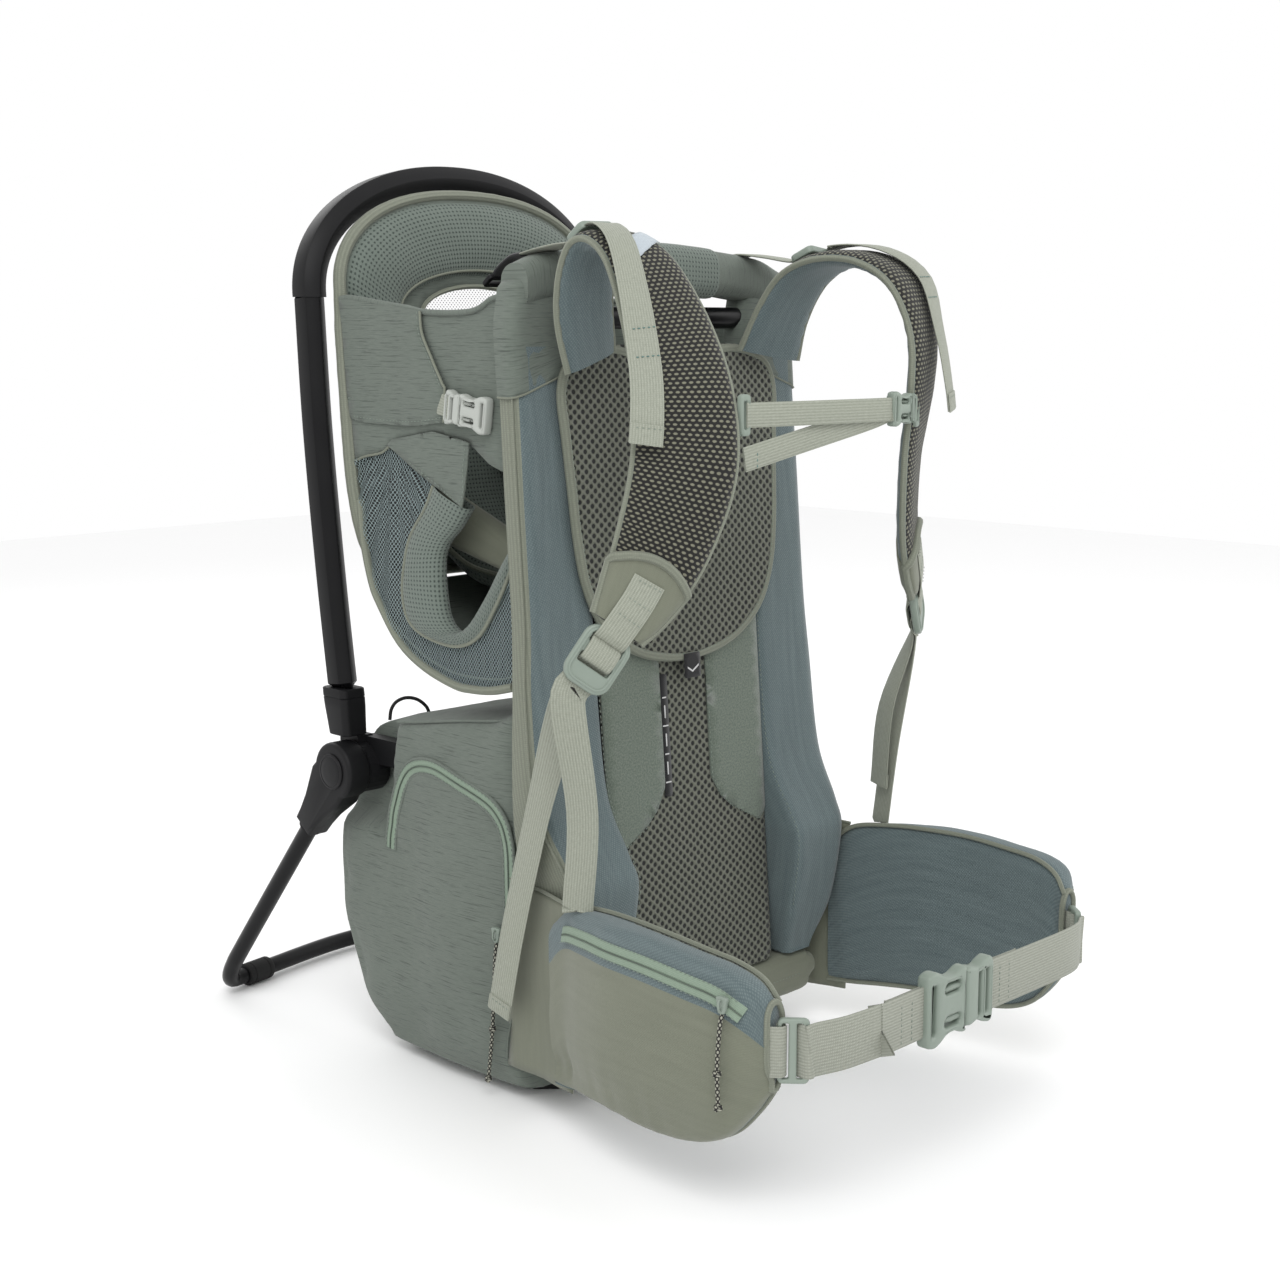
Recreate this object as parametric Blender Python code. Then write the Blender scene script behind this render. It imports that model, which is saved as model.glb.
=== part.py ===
"""Child carrier backpack: folding kickstand, hoop and back frame, cockpit with a child seat, storage bag,
sliding shoulder yoke and a padded hip belt.

Metres, +Z up. The origin is on the underside of the base board. The wearer's back rests on the -Y side,
the kickstand stands at +Y, and +X is the wearer's left (names end in _l, those at -X in _r)."""

import math

import bmesh
import bpy
from mathutils import Matrix, Vector

# Driving dimensions
CLEAR = 0.0004  # gap kept between two pieces that touch
BODY_HALF = 0.150  # half the width of the cockpit; every width below is measured from it
HOOP_TOP = 0.749  # height of the whole carrier
BASE_T = 0.004  # base board

PANEL_TOP_Y = -0.102  # front face of the back panel at the height PANEL_REF_Z
PANEL_REF_Z = 0.620
PANEL_LEAN = 0.078  # forward lean of the back panel, per metre of drop
PANEL_T = 0.010
PANEL_HALF = 0.094
PANEL_LOW_Z = 0.073
PANEL_HIGH_Z = 0.598
YOKE_T = 0.007
YOKE_CLEAR = 0.0008  # running gap between the yoke and the back panel

FRAME_TUBE_R = 0.009
FRAME_TUBE_INSET = 0.024  # tube axis, inboard of BODY_HALF
FRAME_BEND_R = 0.020
PILLAR_T = 2 * FRAME_TUBE_R + 0.004  # room for the frame tube and a wall in front of it
PILLAR_HIGH_Z = 0.596
PILLAR_OVERHANG = 0.014  # outer face, outboard of BODY_HALF
HIP_BREAK_Z = 0.330  # below this height the frame stands upright

SIDE_T = 0.003
HEADREST_T = 0.012
HEADREST_LEAN = 0.114
HEADREST_Y = 0.100  # mid-plane of the headrest panel at HEADREST_LOW_Z
HEADREST_LOW_Z = 0.400
HEADREST_DROP = 0.020  # its top edge, below the top of the hoop
SLING_T = 0.004

HOOP_WIDE = 0.020
HOOP_DEEP = 0.028
ARCH_WIDE = 0.023
ARCH_DEEP = 0.031
ARCH_RISE = 0.102  # from the parting line to the centre of the arch's crown
HOOP_LEAN = 0.103
HOOP_FOOT_Y = 0.111
HOOP_FOOT_Z = 0.263
SOCKET_LOW_Z = 0.272
SOCKET_HIGH_Z = 0.312

PIVOT_Y = 0.105
PIVOT_Z = 0.244
PIN_R = 0.005
PIN_PLAY = 0.0003
KNUCKLE_R = 0.022
KNUCKLE_IN = 0.011  # inner face of the knuckle, inboard of BODY_HALF
KNUCKLE_OUT = 0.0105  # its outer face, outboard of BODY_HALF
HOUSING_R = 0.0245
HOUSING_T = 0.023
HOUSING_LENGTH = 0.072
STAND_R = 0.0075
FOOT_R = 0.0105
FOOT_LENGTH = 0.030
STAND_REACH_Y = 0.298  # where the legs meet the crossbar
STAND_BOW = 0.022  # how far the crossbar bows to the rear
RAIL_LOW_Z = 0.2485
RAIL_HIGH_Z = 0.2705

BAG_OVERHANG = 0.010
BAG_FRONT_Y = -0.0995

STRAP_T = 0.014
WEB_W = 0.025
WEB_T = 0.0016
BELT_W = 0.038
BELT_Z = 0.135
BELT_Y = -0.417
CORD_R = 0.0015

# name: (colour, roughness, metallic)
LOOKS = {
    "black_metal": ((0.012, 0.012, 0.013), 0.42, 0.6),
    "black_plastic": ((0.014, 0.014, 0.015), 0.45, 0.0),
    "sage_plastic": ((0.26, 0.29, 0.24), 0.5, 0.0),
    "steel": ((0.45, 0.45, 0.46), 0.35, 1.0),
    "rubber": ((0.02, 0.02, 0.02), 0.8, 0.0),
    "sage_fabric": ((0.19, 0.22, 0.19), 0.9, 0.0),
    "blue_fabric": ((0.13, 0.18, 0.19), 0.9, 0.0),
    "olive_mesh": ((0.21, 0.23, 0.18), 0.95, 0.0),
    "black_mesh": ((0.06, 0.06, 0.05), 0.95, 0.0),
    "olive_twill": ((0.24, 0.26, 0.2), 0.85, 0.0),
    "webbing": ((0.33, 0.36, 0.29), 0.85, 0.0),
    "cord": ((0.03, 0.03, 0.03), 0.9, 0.0),
}


# Making and placing pieces


def finish(name):
    """The material of this name, made the first time that it is asked for."""
    found = bpy.data.materials.get(name)
    if found:
        return found
    made = bpy.data.materials.new(name)
    made.use_nodes = True
    colour, rough, metal = LOOKS[name]
    shader = made.node_tree.nodes["Principled BSDF"]
    shader.inputs["Base Color"].default_value = (*colour, 1.0)
    shader.inputs["Roughness"].default_value = rough
    shader.inputs["Metallic"].default_value = metal
    return made


def add(name, data, look, pivot=None):
    """Links an object for data, whose points are in world space, under the empty pivot if there is one."""
    data.materials.append(finish(look))
    piece = bpy.data.objects.new(name, data)
    bpy.context.scene.collection.objects.link(piece)
    if pivot:
        data.transform(Matrix.Translation(-world_place(pivot)))
        piece.parent = pivot
    return piece


def world_place(empty):
    """Where an empty stands in the world: its own place and those of the empties above it."""
    place = empty.location.copy()
    return place + world_place(empty.parent) if empty.parent else place


def make_pivot(name, place, parent=None):
    """An empty on a joint's axis, which the moving pieces are parented to."""
    empty = bpy.data.objects.new(name, None)
    bpy.context.scene.collection.objects.link(empty)
    empty.location = Vector(place) - world_place(parent) if parent else place
    empty.parent = parent
    return empty


def solid(name, points, faces, look, pivot=None):
    """A closed mesh, turned to face outwards and shaded smooth up to 40 degrees."""
    mesh = bpy.data.meshes.new(name)
    mesh.from_pydata([tuple(point) for point in points], [], faces)
    shape = bmesh.new()
    shape.from_mesh(mesh)
    bmesh.ops.recalc_face_normals(shape, faces=shape.faces)
    shape.to_mesh(mesh)
    shape.free()
    mesh.shade_smooth()
    mesh.set_sharp_from_angle(angle=math.radians(40))
    return add(name, mesh, look, pivot)


def loft(name, rings, look, pivot=None, side=1, ring_shaped=False):
    """Skins rings of equal count. side -1 mirrors them in X; ring_shaped joins the last to the first."""
    count = len(rings[0])
    points = [Vector((side * p[0], p[1], p[2])) for ring in rings for p in ring]
    faces = []
    spans = len(rings) if ring_shaped else len(rings) - 1
    for i in range(spans):
        here = i * count
        there = (i + 1) % len(rings) * count
        for j in range(count):
            k = (j + 1) % count
            faces.append((here + j, here + k, there + k, there + j))
    if not ring_shaped:
        faces.append(tuple(range(count)))
        faces.append(tuple(len(points) - count + j for j in range(count)))
    return solid(name, points, faces, look, pivot)


def tube(name, path, radius, look, pivot=None, resolution=3, side=1):
    """A round bar along path, as a curve with filled ends."""
    curve = bpy.data.curves.new(name, "CURVE")
    curve.dimensions = "3D"
    curve.bevel_depth = radius
    curve.bevel_resolution = resolution
    curve.use_fill_caps = True
    line = curve.splines.new("POLY")
    line.points.add(len(path) - 1)
    for spot, p in zip(line.points, path):
        spot.co = (side * p[0], p[1], p[2], 1.0)
    return add(name, curve, look, pivot)


def bevel(piece, width, segments=2):
    """Rounds the piece's sharp edges."""
    rounding = piece.modifiers.new("Rounding", "BEVEL")
    rounding.width = width
    rounding.segments = segments
    rounding.limit_method = "ANGLE"
    rounding.angle_limit = math.radians(35)


def boolean(piece, other, operation):
    """Cuts other from piece or joins it, and hides other, which is only a helper."""
    step = piece.modifiers.new(other.name, "BOOLEAN")
    step.object = other
    step.operation = operation
    other.hide_render = True
    other.display_type = "WIRE"
    other.name = "helper_" + other.name


def cylinder_rings(y, z, spans, count=16):
    """Rings about an axis along X, one for each (x, radius)."""
    turns = [2 * math.pi * j / count for j in range(count)]
    return [[(x, y + r * math.cos(a), z + r * math.sin(a)) for a in turns] for x, r in spans]


def section(centre, wide, normal, width, depth, corner=0.0):
    """An oblong ring about centre, spanned by the unit vectors wide and normal, with cut corners if asked."""
    a = width / 2
    b = depth / 2
    c = corner
    if not c:
        steps = [(-a, -b), (a, -b), (a, b), (-a, b)]
    else:
        steps = [(c - a, -b), (a - c, -b), (a, c - b), (a, b - c)]
        steps += [(a - c, b), (c - a, b), (-a, b - c), (-a, c - b)]
    return [centre + wide * u + normal * v for u, v in steps]


def tangent(points, i):
    ahead = points[min(i + 1, len(points) - 1)]
    behind = points[max(i - 1, 0)]
    return (ahead - behind).normalized()


def ribbon(name, path, wides, width, thickness, look, pivot=None, side=1):
    """A flat band along path. wides holds the direction across it, one for all or one for each point."""
    points = [Vector(p) for p in path]
    rings = []
    for i, point in enumerate(points):
        along = tangent(points, i)
        wide = Vector(wides[i] if len(wides) > 1 else wides[0]).normalized()
        normal = along.cross(wide).normalized()
        rings.append(section(point, wide, normal, width, thickness))
    return loft(name, rings, look, pivot, side)


def block(name, centre, axes, size, look, pivot=None, side=1, rounding=0.0015):
    """A box of this size along three directions, with rounded edges."""
    along, wide, normal = (Vector(axis).normalized() for axis in axes)
    reach = along * size[0] / 2
    ends = [Vector(centre) - reach, Vector(centre) + reach]
    piece = loft(name, [section(end, wide, normal, size[1], size[2]) for end in ends], look, pivot, side)
    if rounding:
        bevel(piece, rounding)
    return piece


def extrude_x(name, outline, low, high, look, pivot=None, side=1):
    """An outline of (y, z) points, extruded from x = low to x = high."""
    return loft(name, [[(x, y, z) for y, z in outline] for x in (low, high)], look, pivot, side)


def leaning_plate(name, outline, front_y, thickness, look, pivot=None):
    """An outline of (x, z) points whose front face lies on the plane front_y(z)."""
    rings = [[(x, front_y(z) + back, z) for x, z in outline] for back in (0.0, thickness)]
    return loft(name, rings, look, pivot)


def mirrored(half):
    """An outline from its half at +X, given from the top to the bottom."""
    return half + [(-x, z) for x, z in reversed(half) if x > 1e-6]


def rounded_path(corners, radius, steps=5):
    """The polyline through corners, with each inner corner turned into an arc-like bend."""
    points = [Vector(c) for c in corners]
    path = [points[0]]
    for before, corner, after in zip(points, points[1:], points[2:]):
        start = corner + (before - corner).normalized() * radius
        end = corner + (after - corner).normalized() * radius
        for i in range(steps + 1):
            t = i / steps
            path.append(start * (1 - t) ** 2 + corner * 2 * t * (1 - t) + end * t**2)
    return path + [points[-1]]


def smooth_path(points, steps=4):
    """Points along a smooth curve through the given ones."""
    known = [Vector(p) for p in points]
    padded = [known[0] * 2 - known[1], *known, known[-1] * 2 - known[-2]]
    path = []
    for a, b, c, d in zip(padded, padded[1:], padded[2:], padded[3:]):
        for i in range(steps):
            t = i / steps
            square = (a * 2 - b * 5 + c * 4 - d) * t**2
            cube = (b * 3 - a - c * 3 + d) * t**3
            path.append((b * 2 + (c - a) * t + square + cube) / 2)
    return path + [known[-1]]


def superellipse(half, rise, power, count):
    """(x, z) points of the upper half of a rounded arch, from +X over the crown to -X."""
    points = []
    for i in range(count + 1):
        a = math.pi * i / count
        x = math.copysign(abs(math.cos(a)) ** (2 / power), math.cos(a))
        points.append((half * x, rise * math.sin(a) ** (2 / power)))
    return points


# Surfaces that several pieces share


def panel_front(z):
    return PANEL_TOP_Y - PANEL_LEAN * (PANEL_REF_Z - z)


def pillar_rear(z):
    """Rear face of the pillars: parallel to the back panel, then upright below the hip break."""
    return PANEL_TOP_Y + PILLAR_T - PANEL_LEAN * (PANEL_REF_Z - max(z, HIP_BREAK_Z))


def tube_y(z):
    return pillar_rear(z) - FRAME_TUBE_R - 2 * CLEAR


def headrest_mid(z):
    return HEADREST_Y + HEADREST_LEAN * (z - HEADREST_LOW_Z)


def headrest_front(z):
    return headrest_mid(z) - HEADREST_T / 2


def hoop_y(z):
    return HOOP_FOOT_Y + HOOP_LEAN * (z - HOOP_FOOT_Z)


def arch_foot():
    """Height of the parting line between the hoop's bars and its arch."""
    return HOOP_TOP - ARCH_WIDE / 2 - ARCH_RISE


# Frame


def frame_tube():
    """Bent aluminium tube that holds the back panel up."""
    x = BODY_HALF - FRAME_TUBE_INSET
    top = PANEL_HIGH_Z + CLEAR + FRAME_TUBE_R + 0.011
    corners = [
        (x, tube_y(0.1), 0.076),
        (x, tube_y(0.1), HIP_BREAK_Z),
        (x, tube_y(top), top),
        (-x, tube_y(top), top),
        (-x, tube_y(0.1), HIP_BREAK_Z),
        (-x, tube_y(0.1), 0.076),
    ]
    tube("frame_tube", rounded_path(corners, FRAME_BEND_R), FRAME_TUBE_R, "black_metal")


def hoop_ring(centre, along, level, wide, deep):
    """The hoop's six-sided section, ridged in front and behind. A level ring is parallel to the ground."""
    normal = Vector((0, 1, 0)) if level else Vector((0, 1, -HOOP_LEAN)).normalized()
    outward = Vector((math.copysign(1, centre.x), 0, 0)) if level else normal.cross(along).normalized()
    corners = [(-0.5, -0.28), (0.0, -0.5), (0.5, -0.28), (0.5, 0.28), (0.0, 0.5), (-0.5, 0.28)]
    return [centre + outward * wide * u + normal * deep * v for u, v in corners]


def hoop_bar(name, side):
    """Straight bar of the hoop, bowed out a little between its socket and the arch."""
    low = SOCKET_HIGH_Z + CLEAR
    high = arch_foot() - CLEAR
    bow = [(0.0, 0.0115), (0.3, 0.0140), (0.65, 0.0145), (1.0, 0.0110)]
    points = [Vector((BODY_HALF + x, hoop_y(low + (high - low) * t), low + (high - low) * t)) for t, x in bow]
    rings = []
    for i, point in enumerate(points):
        rings.append(hoop_ring(point, tangent(points, i), i in (0, len(points) - 1), HOOP_WIDE, HOOP_DEEP))
    bevel(loft(name, rings, "black_metal", side=side), 0.002)


def hoop_arch():
    """Moulded arch that joins the two bars over the child's head."""
    foot = arch_foot()
    curve = superellipse(BODY_HALF + 0.0110, ARCH_RISE, 2.1, 20)
    points = [Vector((x, hoop_y(foot + z), foot + z)) for x, z in curve]
    rings = []
    for i, point in enumerate(points):
        rings.append(hoop_ring(point, tangent(points, i), i in (0, len(points) - 1), ARCH_WIDE, ARCH_DEEP))
    bevel(loft("hoop_arch", rings, "black_plastic"), 0.002, 1)


def hoop_socket(name, side):
    """Moulded foot of the hoop, which stands on the fixed knuckle."""
    rings = []
    for t, wide, deep in ((0.0, 0.024, 0.027), (0.5, 0.026, 0.031), (1.0, 0.025, 0.032)):
        z = SOCKET_LOW_Z + (SOCKET_HIGH_Z - SOCKET_LOW_Z) * t
        centre = Vector((BODY_HALF + 0.0105 + 0.001 * t, hoop_y(z), z))
        rings.append(section(centre, Vector((1, 0, 0)), Vector((0, 1, 0)), wide, deep, 0.005))
    bevel(loft(name, rings, "black_plastic", side=side), 0.0012, 1)


def drill(piece, low, high, side, pivot=None):
    """Bores the hole for the hinge pin through the piece, from beyond x = low to beyond x = high."""
    radius = PIN_R + PIN_PLAY
    rings = cylinder_rings(PIVOT_Y, PIVOT_Z, [(low - 0.01, radius), (high + 0.01, radius)])
    boolean(piece, loft(piece.name + "_bore", rings, "black_plastic", pivot, side), "DIFFERENCE")


def hinge_bracket(name, side):
    """Fixed knuckle, the lug under the hoop's socket and the rail that runs forward to the frame tube."""
    inner = BODY_HALF - KNUCKLE_IN
    outer = BODY_HALF + KNUCKLE_OUT
    rings = cylinder_rings(PIVOT_Y, PIVOT_Z, [(inner, KNUCKLE_R), (outer, KNUCKLE_R)], 24)
    knuckle = loft(name, rings, "black_plastic", side=side)
    rail_end = pillar_rear(RAIL_LOW_Z) + 2 * CLEAR
    rail = [(rail_end, RAIL_LOW_Z), (PIVOT_Y, RAIL_LOW_Z), (PIVOT_Y, RAIL_HIGH_Z), (rail_end, RAIL_HIGH_Z)]
    arm = extrude_x(name + "_rail", rail, inner - 0.0005, inner + 0.012, "black_plastic", side=side)
    boolean(knuckle, arm, "UNION")
    top = SOCKET_LOW_Z - CLEAR
    lug = [(hoop_y(top) - 0.012, PIVOT_Z), (hoop_y(top) + 0.012, PIVOT_Z), (hoop_y(top) + 0.012, top)]
    lug.append((hoop_y(top) - 0.012, top))
    foot = extrude_x(name + "_lug", lug, inner + 0.005, outer - 0.0005, "black_plastic", side=side)
    boolean(knuckle, foot, "UNION")
    drill(knuckle, inner, outer, side)


def leg_direction():
    """Unit (y, z) from the pivot to the foot of the leg."""
    reach = Vector((STAND_REACH_Y - PIVOT_Y, FOOT_R - PIVOT_Z))
    return reach.normalized()


def leg_housing(name, side, pivot):
    """Moulded end of the kickstand's leg, turning on the hinge pin."""
    along = leg_direction()
    across = Vector((-along.y, along.x))
    tip = along * HOUSING_LENGTH
    outline = [tip - across * 0.0115, tip + across * 0.0115]
    start = math.atan2(across.y, across.x) - 0.25
    for i in range(13):
        a = start + (math.pi + 0.5) * i / 12
        outline.append(Vector((math.cos(a), math.sin(a))) * HOUSING_R)
    points = [(PIVOT_Y + p.x, PIVOT_Z + p.y) for p in outline]
    low = BODY_HALF + KNUCKLE_OUT + CLEAR
    housing = extrude_x(name, points, low, low + HOUSING_T, "black_plastic", pivot, side)
    bevel(housing, 0.003)
    drill(housing, low, low + HOUSING_T, side, pivot)


def hinge_pin(name, side):
    """Steel pin with a broad head outside the leg housing."""
    start = BODY_HALF - KNUCKLE_IN + 0.001
    face = BODY_HALF + KNUCKLE_OUT + CLEAR + HOUSING_T + CLEAR
    head = PIN_R + 0.007
    spans = [(start, PIN_R), (face, PIN_R)]
    spans += [(face, head), (face + 0.0015, head), (face + 0.0025, head - 0.0015)]
    loft(name, cylinder_rings(PIVOT_Y, PIVOT_Z, spans), "steel", side=side)


def kickstand_tube(pivot):
    """Both legs and the bowed crossbar, bent from one tube."""
    along = leg_direction()
    leg_x = BODY_HALF + KNUCKLE_OUT + CLEAR + HOUSING_T / 2
    start = HOUSING_LENGTH + CLEAR
    half = [
        (leg_x, PIVOT_Y + along.x * start, PIVOT_Z + along.y * start),
        (leg_x - 0.002, STAND_REACH_Y - along.x * 0.030, FOOT_R - along.y * 0.030),
        (leg_x - 0.005, STAND_REACH_Y - along.x * 0.012, FOOT_R - along.y * 0.011),
        (leg_x - 0.012, STAND_REACH_Y - 0.0005, FOOT_R + 0.001),
        (leg_x - 0.022, STAND_REACH_Y + 0.002, FOOT_R),
        (leg_x - 0.065, STAND_REACH_Y + 0.009, FOOT_R),
        (leg_x - 0.105, STAND_REACH_Y + 0.6 * STAND_BOW + 0.003, FOOT_R),
        (leg_x - 0.140, STAND_REACH_Y + 0.95 * STAND_BOW, FOOT_R),
        (0.0, STAND_REACH_Y + STAND_BOW, FOOT_R),
    ]
    path = half + [(-x, y, z) for x, y, z in reversed(half[:-1])]
    tube("kickstand_tube", path, STAND_R, "black_metal", pivot)


def foot_sleeve(name, side, pivot):
    """Rubber sleeve on a straight stretch of the crossbar, which it stands on."""
    leg_x = BODY_HALF + KNUCKLE_OUT + CLEAR + HOUSING_T / 2
    outer = Vector((leg_x - 0.022, STAND_REACH_Y + 0.002, FOOT_R))
    inner = Vector((leg_x - 0.065, STAND_REACH_Y + 0.009, FOOT_R))
    along = (inner - outer).normalized()
    start = outer + along * 0.006
    end = start + along * FOOT_LENGTH
    across = Vector((0, 0, 1)).cross(along)
    bore = STAND_R + CLEAR
    rings = []
    for centre, radius in ((start, bore), (start, FOOT_R), (end, FOOT_R), (end, bore)):
        ring = []
        for j in range(12):
            a = 2 * math.pi * (j + 0.5) / 12
            ring.append(centre + across * radius * math.cos(a) + Vector((0, 0, radius * math.sin(a))))
        rings.append(ring)
    loft(name, rings, "rubber", pivot, side, ring_shaped=True)


# Back and hip


def back_panel():
    """Ventilated panel between the two pillars."""
    outline = [(PANEL_HALF, PANEL_HIGH_Z), (PANEL_HALF, 0.35), (PANEL_HALF, PANEL_LOW_Z)]
    leaning_plate("back_panel", mirrored(outline), panel_front, PANEL_T, "olive_mesh")


def pillar_pad(name, side):
    """Padded pillar beside the panel, flaring forward at the hip, with a channel for the frame tube."""
    inner = PANEL_HALF + CLEAR
    outer = BODY_HALF + PILLAR_OVERHANG
    axis = BODY_HALF - FRAME_TUBE_INSET
    slot = FRAME_TUBE_R + CLEAR
    flare = [
        (PILLAR_HIGH_Z, outer - 0.003, 0.0, inner),
        (0.39, outer, 0.0, inner),
        (HIP_BREAK_Z, outer + 0.004, 0.0, inner),
        (0.25, outer + 0.005, 0.005, inner),
        (0.205, outer, 0.026, inner),
        (0.181, outer - 0.004, 0.034, inner),
        (0.12, outer - 0.006, 0.020, inner + 0.004),
        (PANEL_LOW_Z, outer - 0.013, 0.0, inner + 0.014),
    ]
    rings = []
    for z, x_out, forward, x_in in flare:
        front = panel_front(z) - forward
        rear = pillar_rear(z)
        deep = rear - 2 * FRAME_TUBE_R - 3 * CLEAR
        ring = [(x_out, rear), (x_out, front + 0.008), (x_out - 0.008, front), (x_in + 0.005, front)]
        ring += [(x_in, front + 0.005), (x_in, rear), (axis - slot, rear), (axis - slot, deep)]
        ring += [(axis + slot, deep), (axis + slot, rear)]
        rings.append([(x, y, z) for x, y in ring])
    loft(name, rings, "blue_fabric", side=side)


def lumbar_pad():
    """Pad across the foot of the back panel."""
    rings = []
    stations = ((-1, 0.046, 0.066), (-0.86, 0.034, 0.0715), (0.86, 0.034, 0.0715), (1, 0.046, 0.066))
    for x, low, high in stations:
        centre = Vector((x * (BODY_HALF - 0.002), -0.127, (low + high) / 2))
        rings.append(section(centre, Vector((0, 0, 1)), Vector((0, 1, 0)), high - low, 0.040, 0.008))
    loft("lumbar_pad", rings, "olive_twill")


def hip_wing(name, side):
    """Padded wing of the hip belt with its zipped pocket on the outside."""
    stations = [
        (-0.148, 0.0120, 0.0235, 0.0235, 0.036, 0.165),
        (-0.172, 0.0150, 0.0290, 0.0300, 0.038, 0.183),
        (-0.205, 0.0200, 0.0400, 0.0460, 0.042, 0.189),
        (-0.240, 0.0250, 0.0500, 0.0580, 0.045, 0.191),
        (-0.280, 0.0300, 0.0540, 0.0620, 0.044, 0.191),
        (-0.320, 0.0310, 0.0545, 0.0620, 0.048, 0.188),
        (-0.348, 0.0300, 0.0540, 0.0600, 0.060, 0.185),
        (-0.368, 0.0270, 0.0520, 0.0540, 0.082, 0.177),
        (-0.379, 0.0240, 0.0400, 0.0400, 0.100, 0.163),
    ]
    rings = []
    for y, inner, top, bulge, low, high in stations:
        tall = high - low
        ring = [(inner, low + 0.008), (inner, (low + high) / 2), (inner, high - 0.008)]
        ring += [(inner + 0.005, high), (top - 0.005, high), (top, high - 0.020)]
        ring += [(bulge, low + 0.55 * tall), (bulge, low + 0.25 * tall)]
        ring += [(inner + 0.6 * (bulge - inner), low), (inner + 0.004, low)]
        rings.append([(BODY_HALF + x, y, z) for x, z in ring])
    loft(name, rings, "olive_twill", side=side)


def hip_lock(name, side):
    """Tri-glide at the end of the hip wing, which holds the belt."""
    along = Vector((-0.66, -0.75, 0))
    centre = Vector((BODY_HALF + 0.0250, -0.3900, BELT_Z - 0.005))
    axes = (along, Vector((0, 0, 1)), along.cross(Vector((0, 0, 1))))
    lock = block(name, centre, axes, (0.022, BELT_W + 0.008, 0.005), "sage_plastic", side=side)
    slot = (0.004, BELT_W + 0.0015, 0.02)
    for i, step in enumerate((-0.0055, 0.0045)):
        place = centre + along.normalized() * step
        hole = block(f"{name}_slot{i}", place, axes, slot, "sage_plastic", None, side, 0)
        boolean(lock, hole, "DIFFERENCE")


def hip_belt(clip):
    """Both belts and the two halves of the centre buckle."""
    outer = BODY_HALF + 0.0145
    female_x = (-0.066, -0.020)
    male_x = (female_x[1] + CLEAR, 0.014)
    up = (0, 0, 1)
    for name, side, inner in (("hip_webbing_r", -1, -female_x[0]), ("hip_webbing_l", 1, male_x[1])):
        path = [(outer, BELT_Y + 0.0155, BELT_Z - 0.004), (outer - 0.020, BELT_Y + 0.006, BELT_Z - 0.002)]
        path += [(outer - 0.050, BELT_Y, BELT_Z), (inner + CLEAR, BELT_Y, BELT_Z)]
        ribbon(name, path, [up], BELT_W, WEB_T, "webbing", side=side)
    axes = ((1, 0, 0), up, (0, 1, 0))
    for name, (low, high), tall, pivot in (
        ("hip_buckle_female", female_x, 0.056, None),
        ("hip_buckle_male", male_x, 0.050, clip),
    ):
        centre = ((low + high) / 2, BELT_Y, BELT_Z)
        block(name, centre, axes, (high - low, tall, 0.012), "sage_plastic", pivot, rounding=0.003)


# Bag


def storage_bag():
    """Soft bag under the seat, with a sleeve on each side for the hinge bracket's rail."""
    low = BASE_T + CLEAR
    profile = [
        (BAG_FRONT_Y, 0.316),
        (-0.020, 0.303),
        (0.085, 0.285),
        (0.114, 0.270),
        (0.132, 0.225),
        (0.145, 0.178),
        (0.143, 0.116),
        (0.132, 0.075),
        (0.109, 0.033),
        (0.080, 0.010),
        (0.060, low),
        (-0.080, low),
        (BAG_FRONT_Y, 0.022),
        (BAG_FRONT_Y, 0.180),
    ]
    middle = Vector((0.015, 0.15))
    rings = []
    half = BODY_HALF + BAG_OVERHANG
    stations = ((-half, 0.93), (-half + 0.008, 0.99), (0, 1.0), (half - 0.008, 0.99), (half, 0.93))
    for x, shrink in stations:
        scaled = [middle + (Vector(p) - middle) * shrink for p in profile]
        rings.append([(x, max(p.x, BAG_FRONT_Y), max(p.y, low)) for p in scaled])
    bag = loft("storage_bag", rings, "sage_fabric")
    room = 0.0006
    inner = BODY_HALF - KNUCKLE_IN - room
    back = PIVOT_Y - KNUCKLE_R - 0.004
    top = SOCKET_LOW_Z + 0.05
    notch = [(back, 0.21), (0.17, 0.21), (0.17, top), (back, top)]
    rail = [(-0.12, RAIL_LOW_Z - room), (0.12, RAIL_LOW_Z - room)]
    rail += [(0.12, RAIL_HIGH_Z + room), (-0.12, RAIL_HIGH_Z + room)]
    for name, side in (("bag_pocket_r", -1), ("bag_pocket_l", 1)):
        pocket = extrude_x(name, notch, inner - 0.001, half + 0.01, "sage_fabric", side=side)
        boolean(bag, pocket, "DIFFERENCE")
        sleeve = extrude_x(name + "_sleeve", rail, inner - 0.0015, inner + 0.0135, "sage_fabric", side=side)
        boolean(bag, sleeve, "DIFFERENCE")


def bag_base():
    """Stiff board under the bag, which the carrier stands on."""
    x = BODY_HALF - 0.024
    outline = [(x, -0.078), (x - 0.014, -0.092), (0.014 - x, -0.092), (-x, -0.078)]
    outline += [(-x, 0.070), (0.014 - x, 0.084), (x - 0.014, 0.084), (x, 0.070)]
    loft("bag_base", [[(px, py, z) for px, py in outline] for z in (0.0, BASE_T)], "rubber")


def zip_slider(name, centre, pivot, side=-1):
    """Zip slider with its eye, flat against the fabric."""
    axes = ((0, 1, 0), (0, 0, 1), (1, 0, 0))
    block(name, centre, axes, (0.009, 0.012, 0.004), "sage_plastic", pivot, side, 0.001)


def zip_pull(name, route, pivot, side=-1):
    """Cord that hangs from a zip slider."""
    tube(name, smooth_path(route, 6), CORD_R, "cord", pivot, 2, side)


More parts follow.
